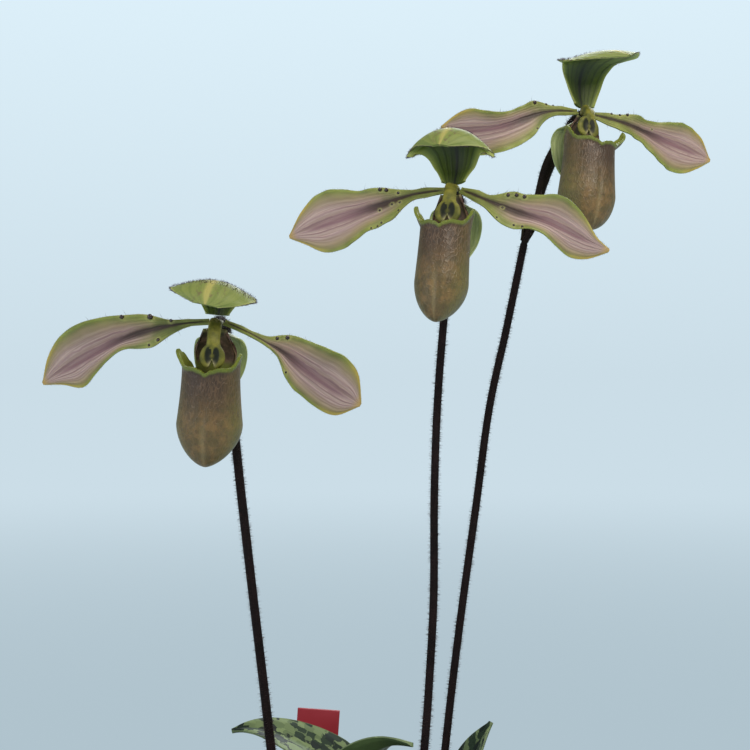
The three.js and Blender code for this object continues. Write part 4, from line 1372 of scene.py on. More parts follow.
MIDDLE_FLOWER = Flower(
    name="middle", centre=(21.5, 0, 287.7), yaw=-17, roll=1.5, pitch=-8,
    lip=Lip(6.65, 0.06, Ear(1.7, 0.8), Ear(0.4, 0)), column=Column(shift=1.1),
    dorsal=Dorsal(
        spine=((2.8, 0.7), (4, 5), (3.4, 9.4), (1, 12.8), (-2.6, 13.4), (-5.6, 11.2), (-7.4, 7.8)),
        cup=HOOD_DEEP, flare=5, lean=0, turn=-5, slope=-0.06, drift=-1, sag=1.6, width=WIDTH_DEEP),
    left=Petal(
        midrib=((-2, -0.9), (-10.7, -2.3), (-19, -4.8), (-27.3, -7.4), (-35.6, -10), (-43.8, -12.2)),
        upper=(0.8, 1.4, 1.6, 3, 4.7, 5.5, 7.3, 8.4, 7.8, 5, 0.4),
        lower=(1, 1.4, 1.9, 4.9, 5.7, 6.1, 7.5, 7.7, 6.7, 3.4, 0.4),
        twist=(-25, -15, -5, 0, 5, 5),
        warts=(Wart(0.33, 0.9, 0.55), Wart(0.365, 0.92, 0.55), Wart(0.27, 0.6, 0.4), Wart(0.32, -0.2, 0.35),
               Wart(0.27, -0.33, 0.35), Wart(0.4, -0.25, 0.35), Wart(0.28, -0.9, 0.3), Wart(0.4, -0.9, 0.3),
               Wart(0.43, -0.95, 0.25), Wart(0.47, -0.95, 0.25))),
    right=Petal(
        midrib=((2, -0.9), (9.4, -4), (16.9, -7), (24.5, -9.6), (31.9, -12.8), (39.3, -16)),
        upper=(0.8, 1.6, 1.7, 4, 4.8, 6.1, 7.3, 6.7, 4.7, 1.8, 0.4),
        lower=(1, 1.5, 2.2, 4.1, 4.6, 3.1, 3, 4.3, 5.3, 4, 0.4),
        twist=(-25, -15, -10, 0, 10, 10),
        warts=(Wart(0.3, 0.8, 0.5), Wart(0.35, 0.87, 0.5), Wart(0.4, 0.88, 0.5), Wart(0.3, -0.1, 0.35),
               Wart(0.3, -0.9, 0.25), Wart(0.41, -0.8, 0.3), Wart(0.46, -0.85, 0.3))),
    ovary_top=(22.4, 12.8, 280), stem_radius=1.0,
    stem=((20.6, 11, 259), (18.6, 9, 234), (17.6, 5.5, 210), (17.2, 1, 184), (15.6, -4, 160),
          (13.8, -8.5, 138), (13.2, -12.6, 108), (13.5, -15, 76)))

RIGHT_FLOWER = Flower(
    name="right", centre=(61.2, 34, 313.6), yaw=20, roll=9, pitch=-6,
    lip=Lip(7.9, 0.11, Ear(0, -0.3), Ear(3.3, 1.5)), column=Column(shift=-2.6, lift=0.8),
    dorsal=Dorsal(
        spine=((2.8, 0.7), (4, 5), (4, 9.8), (2, 13.8), (-2, 15.4), (-6, 15), (-9, 13.6)),
        cup=HOOD_OPEN, flare=4, lean=-6, turn=10, slope=0.34, drift=6.8, sag=-2, width=WIDTH_OPEN),
    left=Petal(
        midrib=((-2, -0.9), (-10, -2.9), (-17.5, -6.4), (-25, -10.3), (-32.6, -13), (-40.8, -13.7)),
        upper=(0.8, 1.4, 1.9, 3.7, 3.4, 3.2, 4, 5.2, 6, 4.6, 0.4),
        lower=(1, 1.3, 1.5, 2.7, 5.4, 6.3, 6.6, 6.8, 6.4, 4.8, 0.4),
        twist=(-25, -15, -5, 15, 25, 25),
        warts=(Wart(0.31, 0.9, 0.6), Wart(0.18, 0.95, 0.3), Wart(0.23, 0.95, 0.3), Wart(0.36, -0.9, 0.25))),
    right=Petal(
        midrib=((2, -0.7), (11.1, -0.9), (19.2, -1.8), (27.2, -2.7), (35.3, -3.6), (43.4, -4.4)),
        upper=(0.8, 1.6, 2.2, 3.5, 3.3, 4.2, 5.6, 6.7, 6.6, 4.9, 0.4),
        lower=(1, 2.2, 3.2, 3.7, 4, 6.2, 7.5, 7.7, 6.7, 4, 0.4),
        twist=(-25, -15, -5, 5, 5, 0),
        warts=(Wart(0.14, 0.9, 0.35), Wart(0.2, 0.9, 0.4), Wart(0.25, 0.95, 0.45), Wart(0.46, 0.4, 0.25))),
    ovary_top=(52, 45, 300), stem_radius=1.05,
    stem=((44.6, 43.5, 277), (39.6, 43, 253), (34.6, 40, 231), (30.4, 36, 203), (26.2, 31, 176),
          (22.6, 26.5, 150), (18.6, 20.5, 116), (15, 17, 76)))


class Paints:
    """The finishes that several sub-assemblies share, each built once."""

    def __init__(self) -> None:
        """Builds the finishes."""
        self.petal_front = PetalFinish().material()
        self.petal_back = PetalFinish("petal_reverse", True).material()
        self.hood_inside = HoodFinish(Hood.INSIDE).material()
        self.hood_outside = HoodFinish(Hood.OUTSIDE).material()
        self.synsepal = SynsepalFinish().material()
        self.pouch_outside = PouchFinish(Pouch.OUTSIDE).material()
        self.pouch_inside = PouchFinish(Pouch.INSIDE).material()
        self.column = ColumnFinish().material()
        self.stem = StemFinish("stem_skin", "#0E090A", "#231718").material()
        self.ovary = StemFinish("ovary_skin", "#120D0C", "#2C2218").material()
        self.bract = StemFinish("bract_skin", "#1A160F", "#3A361F").material()
        self.stem_hair = HairFinish("stem_hair", "#1E1216", "#45332F").material()
        self.dark_hair = HairFinish("dark_hair", "#2E1B26", "#573B48").material()
        self.wart = WartFinish().material()


@dataclass
class Bloom:
    """Builds one flower with its stem, ovary, bract and hairs."""

    flower: Flower
    paints: Paints
    seed: int
    ovary_arc: tuple[tuple[float, float, float], ...] = ((0, 2.2, -1.1), (0, 6.2, -1.2), (0, 10.2, -3.6))
    ovary_radius: tuple[float, ...] = (1.15, 1.35, 1.65, 1.8, 1.2, 0.9)
    synsepal_spine: tuple[tuple[float, float], ...] = (
        (3.3, -2.9), (6.3, -5), (7.8, -9), (7.6, -14), (6.8, -18.5), (5.6, -22.5))
    synsepal_width: tuple[float, ...] = (2.2, 4.2, 5.8, 6.7, 7, 6.8, 6.2, 5.2, 4, 2.6, 0.6)
    stem_hairs_per_mm: float = 26
    fringe_hairs: int = 190
    crest_hairs: int = 800

    def __post_init__(self) -> None:
        """Sets the flower's pose and its own random numbers."""
        self.pose = self.flower.pose()
        self.turn = self.pose.to_3x3()
        self.random = random.Random(self.seed)

    def build(self) -> None:
        """Builds every piece of the flower in turn."""
        self.petal("left", self.flower.left)
        self.petal("right", self.flower.right)
        self.dorsal()
        self.synsepal()
        self.lip()
        self.column()
        self.ovary()
        self.bract()
        self.stem()

    def name(self, part: str) -> str:
        """A piece's name: the part and this flower."""
        return f"{part}_{self.flower.name}"

    def scatter(self, reach: float) -> Vector:
        """Random offset, up to a reach each way along each axis."""
        return Vector([self.random.uniform(-reach, reach) for _ in range(3)])

    def posed(self, surface: Surface) -> Surface:
        """A surface of the flower's own axes, brought to the frame's."""
        return lambda t, s: self.pose @ surface(t, s)

    def blade(self, part: str, surface: Surface, rows: int, columns: int, thickness: float,
              slot: str, front: bpy.types.Material, back: bpy.types.Material) -> bpy.types.Object:
        """Makes a thin curved blade with a finish on each face.

        Args:
            part: The part's name, which is also its CAD node's.
            surface: The middle sheet in the flower's own axes.
            rows: Steps along it.
            columns: Steps across it.
            thickness: The blade's thickness in millimetres.
            slot: The record's material slot.
            front: The finish of the face that the sheet's own normal points from.
            back: The finish of the other face.

        Returns:
            The finished piece.
        """
        piece = sheet(self.name(part), self.posed(surface), rows, columns)
        dress(piece, slot, front, back)
        thicken(piece, thickness, margin=0.45)
        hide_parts(self.name(part))
        report(piece)
        return piece

    def petal(self, side: str, petal: Petal) -> None:
        """Makes one petal with its warts and the long hairs of its margins.

        Args:
            side: The viewer's left or right.
            petal: The petal's form.
        """
        front, back = self.paints.petal_front, self.paints.petal_back
        if side == "left":
            front, back = back, front
        name = self.name(f"petal_{side}")
        piece = sheet(name, self.posed(petal.surface), petal.rows, petal.columns)
        warts = [(self.pose @ petal.surface(w.t, w.s) * MM, w.radius * MM) for w in petal.warts]
        store(piece, "halo", (self.halo(vertex.co, warts) for vertex in piece.data.vertices))
        dress(piece, "petal_tissue", front, back)
        thicken(piece, petal.thickness, margin=0.45)
        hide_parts(name)
        self.warts(side, petal)
        self.lashes(side, petal)
        report(piece)

    @staticmethod
    def halo(place: Vector, warts: Sequence[tuple[Vector, float]]) -> float:
        """Strength, 0 to 1, of the pale ring round the nearest wart."""
        return max((1 - ramp(1.2, 2.4, (place - centre).length / radius) for centre, radius in warts),
                   default=0.0)

    def warts(self, side: str, petal: Petal) -> None:
        """Makes the petal's warts, half sunk in its front face.

        Args:
            side: The viewer's left or right.
            petal: The petal's form.
        """
        plantings = []
        for wart in petal.warts:
            up = self.turn @ petal.facing(wart.t, wart.s)
            root = self.pose @ petal.surface(wart.t, wart.s) + up * (petal.thickness / 2 - 0.05)
            plantings.append(Planting(root, up, wart.radius * 0.7, wart.radius))
        piece = planted(self.name(f"petal_{side}_warts"), bead_form(), plantings)
        soften(piece, 60)
        dress(piece, "petal_tissue", self.paints.wart)
        report(piece)

    def lashes(self, side: str, petal: Petal) -> None:
        """Makes the hairs on the petal's margins: long ones near the claw, a fine down farther out.

        Args:
            side: The viewer's left or right.
            petal: The petal's form.
        """
        plantings = []
        for edge in (-1, 1):
            t = 0.1
            while t < 0.995:
                near = 1 - ramp(0.35, 0.6, t)
                outward = petal.surface(t, edge) - petal.surface(t, edge * 0.9)
                long = self.random.random() < 0.07 * near
                length = self.random.uniform(1.0, 2.0) if long else self.random.uniform(0.2, 0.5)
                up = self.turn @ (outward.normalized() + self.scatter(0.5))
                root = self.pose @ petal.surface(t, edge * 0.99)
                plantings.append(Planting(root, up, length, 0.05 if long else 0.035))
                t += self.random.uniform(0.002, 0.008)
        piece = planted(self.name(f"petal_{side}_lashes"), hair_form(0.25), plantings)
        dress(piece, "petal_tissue", self.paints.dark_hair)
        report(piece)

    def dorsal(self) -> None:
        """Makes the hooded sepal and the purple fringe of its visor."""
        dorsal = self.flower.dorsal
        self.blade("dorsal_sepal", dorsal.surface, dorsal.rows, dorsal.columns, dorsal.thickness,
                   "dorsal_tissue", self.paints.hood_outside, self.paints.hood_inside)
        plantings = []
        for edge in (-1, 1):
            for _ in range(self.fringe_hairs):
                t = 0.42 + 0.58 * self.random.random()
                outward = (dorsal.surface(t, edge) - dorsal.surface(t, edge * 0.9)).normalized()
                up = self.turn @ (outward + self.scatter(0.45) + Vector((0, 0, 0.3)))
                root = self.pose @ dorsal.surface(t, edge * 0.99)
                plantings.append(Planting(root, up, self.random.uniform(0.4, 1.0), 0.06))
        for _ in range(self.crest_hairs):
            t, s = 0.4 + 0.3 * self.random.random(), self.random.uniform(-1, 1)
            outside = normal_of(dorsal.surface, t, s)
            root = self.pose @ (dorsal.surface(t, s) + outside * 0.3)
            up = self.turn @ (outside + self.scatter(0.6))
            plantings.append(Planting(root, up, self.random.uniform(0.3, 0.8), 0.05))
        piece = planted(self.name("dorsal_fringe"), hair_form(0.3), plantings)
        dress(piece, "dorsal_tissue", self.paints.dark_hair)
        report(piece)

    def synsepal(self) -> None:
        """Makes the joined lower sepals behind the pouch."""
        def curve(t: float) -> Vector:
            """Midline in the flower's own axes."""
            return evenly_point([(0, y, z) for y, z in self.synsepal_spine], t)

        def surface(t: float, s: float) -> Vector:
            """Sepal's middle sheet.

            Args:
                t: 0 at the base, 1 at the tip.
                s: -1 at one margin, 1 at the other.

            Returns:
                The point in the flower's own axes.
            """
            forward = tangent_of(curve, t)
            inner = Vector((0, forward.z, -forward.y))
            wave = 0.15 * abs(s) ** 3 * math.sin(17 * t + s)
            half = evenly(self.synsepal_width, t)
            return Vector((s * half, 0, 0)) + curve(t) + inner * (1.3 * s * s + wave)

        self.blade("synsepal", surface, 48, 26, 0.7, "synsepal_tissue", self.paints.synsepal,
                   self.paints.synsepal)

    def lip(self) -> None:
        """Makes the pouch, with the inner face a wall's thickness inside the outer one."""
        lip = self.flower.lip
        piece = sheet(self.name("lip"), self.posed(lip.surface), lip.rows, lip.columns)
        local = self.pose.inverted()
        own = [local @ (vertex.co / MM) for vertex in piece.data.vertices]
        store(piece, "height", (place.z for place in own))
        middle_y = -3
        turns = (math.atan2(place.x, middle_y - place.y) for place in own)
        store(piece, "around", (turn * lip.half_width for turn in turns))
        close_seams(piece, fill=False)
        dress(piece, "lip_tissue", self.paints.pouch_outside, self.paints.pouch_inside)
        thicken(piece, lip.thickness, -1.0)
        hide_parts(self.name("lip"))
        report(piece)

    def shield_outline(self, angle: float) -> tuple[float, float]:
        """Point of the shield's edge, with its notch.

        Args:
            angle: The angle from straight down, in radians.

        Returns:
            Its x and z from the shield's middle, in millimetres.
        """
        column = self.flower.column
        w, h = column.shield_width / 2, column.shield_height / 2
        x = w * math.sin(angle) * (1 + 0.1 * math.cos(angle))
        z = -h * math.cos(angle)
        notch = column.notch_depth * math.exp(-(angle / 0.17) ** 2)
        return x, z + notch

    def column(self) -> None:
        """Makes the shaft and its domed shield, joined in one piece."""
        column = self.flower.column
        sideways = Vector((1, 0, 0))

        def shaft(t: float, s: float) -> Vector:
            """Shaft's skin.

            Args:
                t: 0 at its foot, 1 behind the shield.
                s: Half a turn round it each way, from -1 to 1.

            Returns:
                The point in the flower's own axes.
            """
            forward = tangent_of(column.curve, t)
            up = forward.cross(sideways)
            angle = math.pi * s
            ridge = 1 + 0.16 * math.cos(3 * angle)
            return (column.curve(t) + sideways * evenly(column.width, t) * math.cos(angle) * ridge
                    + up * evenly(column.depth, t) * math.sin(angle) * ridge)

        tilt = Matrix.Rotation(math.radians(column.shield_tilt), 3, "X")
        centre = column.centre()

        def shield(t: float, s: float) -> Vector:
            """Shield's skin.

            Args:
                t: 0 at the front's middle, 0.5 at the edge, 1 at the back's middle.
                s: Half a turn round it each way, from -1 to 1.

            Returns:
                The point in the flower's own axes.
            """
            edge_x, edge_z = self.shield_outline(math.pi * s)
            reach = math.sin(math.pi * t) ** 0.6
            dome = math.copysign(abs(math.cos(math.pi * t)) ** 0.8, math.cos(math.pi * t))
            hollow = 0.35 * math.exp(-((reach - 0.35) / 0.3) ** 2) if t < 0.5 else 0
            depth = -column.shield_thickness * (0.62 * dome - hollow * 0.8)
            return centre + tilt @ Vector((edge_x * reach, depth, edge_z * reach))

        rod = sheet(self.name("column"), self.posed(shaft), 24, 24)
        close_seams(rod, fill=True)
        foot = self.pose @ column.curve(0.12)
        for mark in ("patch", "tooth"):
            store(rod, mark, (0.0 for _ in rod.data.vertices))
        store(rod, "fuzz", (1 - ramp(0.8, 3.2, (v.co / MM - foot).length) for v in rod.data.vertices))
        plate = sheet(self.name("shield"), self.posed(shield), 32, 72)
        local = self.pose.inverted()
        own = [tilt.inverted() @ (local @ (v.co / MM) - centre) for v in plate.data.vertices]
        store(plate, "patch", (self.patch(place) for place in own))
        store(plate, "tooth", (math.exp(-((p.x / 0.8) ** 2 + ((p.z + 2.2) / 0.9) ** 2)) for p in own))
        store(plate, "fuzz", (0.0 for _ in own))
        close_seams(plate, fill=False)
        choose(rod)
        plate.select_set(True)
        bpy.ops.object.join()
        piece = named(bpy.context.active_object, self.name("column"))
        soften(piece, 60)
        dress(piece, "column_tissue", self.paints.column)
        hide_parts(self.name("column"))
        report(piece)

    @staticmethod
    def patch(place: Vector) -> float:
        """Strength of the shield's two dark patches.

        Args:
            place: A place in the shield's own axes, in millimetres.

        Returns:
            1 inside a patch, 0 outside.
        """
        if place.y > 0.3:
            return 0.0
        reach = ((abs(place.x) - 0.95) / 0.95) ** 2 + ((place.z - 0.2) / 2.2) ** 2
        return 1 - ramp(0.6, 1.2, reach)

    def ovary_curve(self, t: float) -> Vector:
        """Middle line of the ovary.

        Args:
            t: 0 behind the flower, 1 at the stem.

        Returns:
            The point in the frame's axes.
        """
        bent = [self.pose @ Vector(place) for place in self.ovary_arc]
        top, end = Vector(self.flower.ovary_top), Vector(self.flower.stem[0])
        return evenly_point([*bent, top, (top + end) / 2, end], t)

    def ovary(self) -> None:
        """Makes the ribbed ovary that bends over behind the flower, and its hairs."""
        sideways = self.turn @ Vector((1, 0, 0))

        def girth(t: float, angle: float) -> float:
            """Radius at t along the ovary and an angle round it, with six low ribs."""
            return evenly(self.ovary_radius, t) * (1 + 0.06 * math.cos(6 * angle))

        piece = tube(self.name("ovary"), self.ovary_curve, girth, 60, 30, sideways)
        soften(piece)
        dress(piece, "ovary_tissue", self.paints.ovary)
        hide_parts(self.name("ovary"))
        report(piece)
        self.fuzz("ovary_hairs", self.ovary_curve, lambda t: evenly(self.ovary_radius, t), 30,
                  self.stem_hairs_per_mm * 1.3, (0.5, 1.1), "ovary_tissue")

    def bract(self) -> None:
        """Makes the pointed sheath round the ovary's foot."""
        start, end, wrap = 0.8, 0.985, 105
        sideways = self.turn @ Vector((1, 0, 0))

        def surface(t: float, s: float) -> Vector:
            """Sheath's middle sheet.

            Args:
                t: 0 at its foot, 1 at its point.
                s: -1 at one margin, 1 at the other.

            Returns:
                The point in the frame's axes.
            """
            place = end + (start - end) * t
            forward = tangent_of(self.ovary_curve, place)
            across = (sideways - forward * sideways.dot(forward)).normalized()
            behind = across.cross(forward)
            reach = math.radians(wrap) * math.sin(math.pi * (0.22 + 0.76 * t)) ** 0.7
            radius = evenly(self.ovary_radius, place) + 0.15 + 0.53 * ramp(0, 0.35, t) + 0.1 * t * t
            return (self.ovary_curve(place) + across * radius * math.sin(s * reach)
                    + behind * radius * math.cos(s * reach))

        piece = sheet(self.name("bract"), surface, 26, 26)
        dress(piece, "bract_tissue", self.paints.bract)
        thicken(piece, 0.6, margin=0.5)
        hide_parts(self.name("bract"))
        report(piece)

    def stem(self) -> None:
        """Makes the long dark stem and its dense short hairs."""
        flower = self.flower

        def curve(t: float) -> Vector:
            """Middle line in the frame's axes."""
            return evenly_point(flower.stem, t)

        def girth(t: float, angle: float) -> float:
            """Radius at t along the stem and an angle round it, not quite round."""
            return flower.stem_radius * (1 + 0.03 * math.cos(5 * angle + 9 * t))

        piece = tube(self.name("flower_stem"), curve, girth, 110, 20, Vector((1, 0, 0)))
        soften(piece)
        dress(piece, "stem_tissue", self.paints.stem)
        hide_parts(self.name("flower_stem"))
        report(piece)
        length = sum((Vector(a) - Vector(b)).length for a, b in zip(flower.stem, flower.stem[1:]))
        self.fuzz("stem_hairs", curve, lambda t: flower.stem_radius, length, self.stem_hairs_per_mm,
                  (0.45, 1.15), "stem_tissue")

    def fuzz(self, part: str, curve: Curve, radius: Callable[[float], float], length: float,
             density: float, reach: tuple[float, float], slot: str) -> None:
        """Plants hairs all round a bar.

        Args:
            part: The new piece's part name.
            curve: The bar's middle line, in the frame's axes.
            radius: The bar's radius at t.
            length: The bar's length in millimetres.
            density: Hairs to a millimetre of its length.
            reach: The shortest and longest hair in millimetres.
            slot: The record's material slot.
        """
        plantings = []
        for _ in range(int(length * density)):
            t = self.random.uniform(0.005, 0.985)
            angle = self.random.uniform(0, 2 * math.pi)
            forward = tangent_of(curve, t)
            side = forward.orthogonal().normalized()
            out = side * math.cos(angle) + forward.cross(side) * math.sin(angle)
            hair = Planting(curve(t) + out * radius(t) * 0.97, out + self.scatter(0.3),
                            self.random.uniform(*reach), 0.045, forward)
            plantings.append(hair)
        piece = planted(self.name(part), hair_form(0), plantings)
        dress(piece, slot, self.paints.stem_hair)
        report(piece)


# Leaves

@dataclass(frozen=True)
class Leaf:
    """One folded strap leaf of a fan."""

    side: int
    offset: float
    turn: float
    length: float
    half_width: float
    rise: float
    tip: float
    late: float
    tilt: float
    bend: float = 1.0
    droop: float = 0.0


@dataclass
class Fan:
    """One growth: leaves in two ranks that rise from a crown in the bark."""

    name: str
    centre: tuple[float, float]
    axis: float
    leaves: tuple[Leaf, ...]
    foot: float = 75.85
    thickness: float = 1.0
    width: tuple[float, ...] = (0.3, 0.31, 0.36, 0.5, 0.7, 0.88, 0.98, 1, 0.88, 0.56, 0.05)
    fold: tuple[float, ...] = (50, 50, 44, 34, 24, 18, 15, 14, 14, 16, 20)
    rows: int = 90
    columns: int = 24
    steps: int = 60
    pattern_step: tuple[float, float] = (37, 50)

    def heading(self, leaf: Leaf) -> float:
        """Direction that a leaf grows in, in radians."""
        return math.radians(self.axis) + (0 if leaf.side > 0 else math.pi) + math.radians(leaf.turn)

    def path(self, leaf: Leaf) -> list[Vector]:
        """Points of a leaf's midrib.

        Args:
            leaf: The leaf.

        Returns:
            The points, from its foot to its tip.
        """
        axis, heading = math.radians(self.axis), self.heading(leaf)
        places = [Vector((self.centre[0] + leaf.side * leaf.offset * math.cos(axis),
                          self.centre[1] + leaf.side * leaf.offset * math.sin(axis), self.foot))]
        step = leaf.length / self.steps
        for i in range(self.steps):
            t = (i + 0.5) / self.steps
            bent = min(t / leaf.bend, 1) ** leaf.late
            climb = math.radians(leaf.rise + (leaf.tip - leaf.rise) * bent - leaf.droop * t ** 12)
            run = step * math.cos(climb)
            rise = step * math.sin(climb)
            places.append(places[-1] + Vector((run * math.cos(heading), run * math.sin(heading), rise)))
        return places

    def surface(self, leaf: Leaf) -> Surface:
        """A leaf's middle sheet, folded along its midrib.

        Args:
            leaf: The leaf.

        Returns:
            The surface in the frame's axes.
        """
        places = self.path(leaf)
        heading = self.heading(leaf)
        level = Vector((-math.sin(heading), math.cos(heading), 0))

        def curve(t: float) -> Vector:
            """Midrib.

            Args:
                t: 0 at the leaf's foot, 1 at its tip.

            Returns:
                The point in the frame's axes.
            """
            place = min(max(t, 0.0), 1.0) * self.steps
            i = min(int(place), self.steps - 1)
            return places[i].lerp(places[i + 1], place - i)

        def surface(t: float, s: float) -> Vector:
            """Leaf's middle sheet.

            Args:
                t: 0 at the leaf's foot, 1 at its tip.
                s: -1 at one margin, 1 at the other.

            Returns:
                The point in the frame's axes.
            """
            forward = tangent_of(curve, t)
            upper = -level.cross(forward)
            tilt = math.radians(leaf.tilt) * min(max((t - 0.2) / 0.5, 0), 1)
            across = level * math.cos(tilt) + upper * math.sin(tilt)
            face = upper * math.cos(tilt) - level * math.sin(tilt)
            half = leaf.half_width * evenly(self.width, t)
            fold = math.radians(evenly(self.fold, t))
            spread = math.sqrt(s * s + 0.0016) - 0.04
            wave = 0.35 * abs(s) ** 3 * math.sin(13 * t + 2 * s) * math.sin(math.pi * t)
            lift = spread * half * math.sin(fold) + wave
            return curve(t) + across * s * half * math.cos(fold) + face * lift

        return surface

    def build(self, upper: bpy.types.Material, under: bpy.types.Material) -> None:
        """Makes the fan's leaves.

        Args:
            upper: The finish of the upper faces.
            under: The finish of the undersides.
        """
        for number, leaf in enumerate(self.leaves, 1):
            name = f"leaf_{self.name}_{number}"
            surface = self.surface(leaf)
            piece = sheet(name, surface, self.rows, self.columns)
            uv = piece.data.uv_layers[0].data
            shares = {loop.vertex_index: tuple(uv[loop.index].uv) for loop in piece.data.loops}
            order = [shares[v.index] for v in piece.data.vertices]
            along, across = [step * number for step in self.pattern_step]
            store(piece, "along", (t * leaf.length + along for t, _ in order))
            store(piece, "across", ((2 * v - 1) * leaf.half_width * evenly(self.width, t) + across
                                    for t, v in order))
            dress(piece, "leaf_tissue", upper, under)
            thicken(piece, self.thickness, margin=0.4)
            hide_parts(name)
            report(piece)


FANS = (
    Fan("left", (-17.5, -2), 20, (
        Leaf(-1, 4.5, 14, 92, 15, 82, 0, 1.5, 6),
        Leaf(1, 4.5, -50, 88, 9.5, 84, 13, 4.8, -22, 0.96, 15),
        Leaf(-1, 7.6, 2, 98, 17, 76, -45, 0.9, 0))),
    Fan("middle", (13.5, -15), -30, (
        Leaf(1, 4.5, 22, 72, 11, 86, 50, 1.6, 0),
        Leaf(-1, 4.5, 80, 88, 12, 77, 5, 1.4, -8),
        Leaf(1, 7.6, 6, 98, 16, 77, -20, 0.8, 0))),
    Fan("right", (15, 17), 10, (
        Leaf(-1, 4.5, -12, 95.5, 9.3, 85, 30, 3.1, -18, 0.72, 50),
        Leaf(1, 4.5, 4, 74, 11, 87, 60, 2.2, 0),
        Leaf(-1, 7.6, -11, 99, 13, 75, -30, 1.1, 4),
        Leaf(1, 7.6, 9, 104, 17, 75, -35, 1.1, 0))),
)


# Pot, bark and label

@dataclass
class Pot:
    """Round nursery pot with a stepped rim and drain holes."""

    height: float = 90
    base_radius: float = 37
    top_radius: float = 47
    wall: float = 1.8
    floor: float = 2.5
    rim_radius: float = 50
    rim_height: float = 13
    drain_radius: float = 4.5
    drain_circle: float = 24
    drain_count: int = 6
    sides: int = 144

    def wall_at(self, z: float) -> float:
        """Outer radius at a height, in millimetres."""
        return self.base_radius + (self.top_radius - self.base_radius) * z / self.height

    def profile(self) -> list[tuple[float, float]]:
        """Outline of the pot's wall.

        Returns:
            Radius and height of each ring, from the underside up, over the rim and down inside.
        """
        foot = self.height - self.rim_height
        return [
            (self.base_radius - 1.5, 0), (self.base_radius - 0.4, 0.4), (self.base_radius, 1.5),
            (self.wall_at(28), 28), (self.wall_at(52), 52), (self.wall_at(foot) - 0.05, foot - 0.4),
            (self.wall_at(foot) + 0.4, foot), (self.rim_radius - 1.4, foot + 0.5),
            (self.rim_radius - 1, foot + 1.0), (self.rim_radius - 0.1, self.height - 1.8),
            (self.rim_radius - 0.2, self.height - 0.8), (self.rim_radius - 0.9, self.height - 0.1),
            (self.top_radius - self.wall + 1.2, self.height - 0.1),
            (self.top_radius - self.wall + 0.3, self.height - 0.6),
            (self.wall_at(60) - self.wall, 60), (self.wall_at(self.floor + 1) - self.wall, self.floor + 1),
            (self.wall_at(self.floor) - self.wall - 1, self.floor)]

    def build(self) -> None:
        """Draws the pot up ring by ring from its underside, then drills its drain holes."""
        rings = self.profile()
        clear_selection()
        bpy.ops.mesh.primitive_circle_add(vertices=self.sides, radius=rings[0][0] * MM, fill_type="NGON")
        piece = named(bpy.context.active_object, "pot_shell")
        bpy.ops.object.mode_set(mode="EDIT")
        for (r0, z0), (r1, z1) in zip(rings, rings[1:]):
            bpy.ops.mesh.extrude_region_move(TRANSFORM_OT_translate={"value": (0, 0, (z1 - z0) * MM)})
            bpy.ops.transform.resize(value=(r1 / r0, r1 / r0, 1), center_override=(0, 0, z1 * MM))
        bpy.ops.mesh.select_all(action="SELECT")
        bpy.ops.mesh.normals_make_consistent(inside=False)
        bpy.ops.object.mode_set(mode="OBJECT")
        drills = []
        for k in range(self.drain_count):
            angle = 2 * math.pi * k / self.drain_count
            clear_selection()
            x, y = self.drain_circle * math.cos(angle) * MM, self.drain_circle * math.sin(angle) * MM
            bpy.ops.mesh.primitive_cylinder_add(vertices=32, radius=self.drain_radius * MM,
                                                depth=self.floor * 4 * MM, location=(x, y, 0))
            drills.append(bpy.context.active_object)
        choose(drills[0])
        for drill in drills:
            drill.select_set(True)
        bpy.ops.object.join()
        cutter = bpy.context.active_object
        with_modifier(piece, "BOOLEAN", operation="DIFFERENCE", object=cutter, solver="EXACT")
        bpy.data.objects.remove(cutter, do_unlink=True)
        soften(piece, 35)
        dress(piece, "pot_plastic", PotFinish().material())
        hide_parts("pot")
        report(piece)


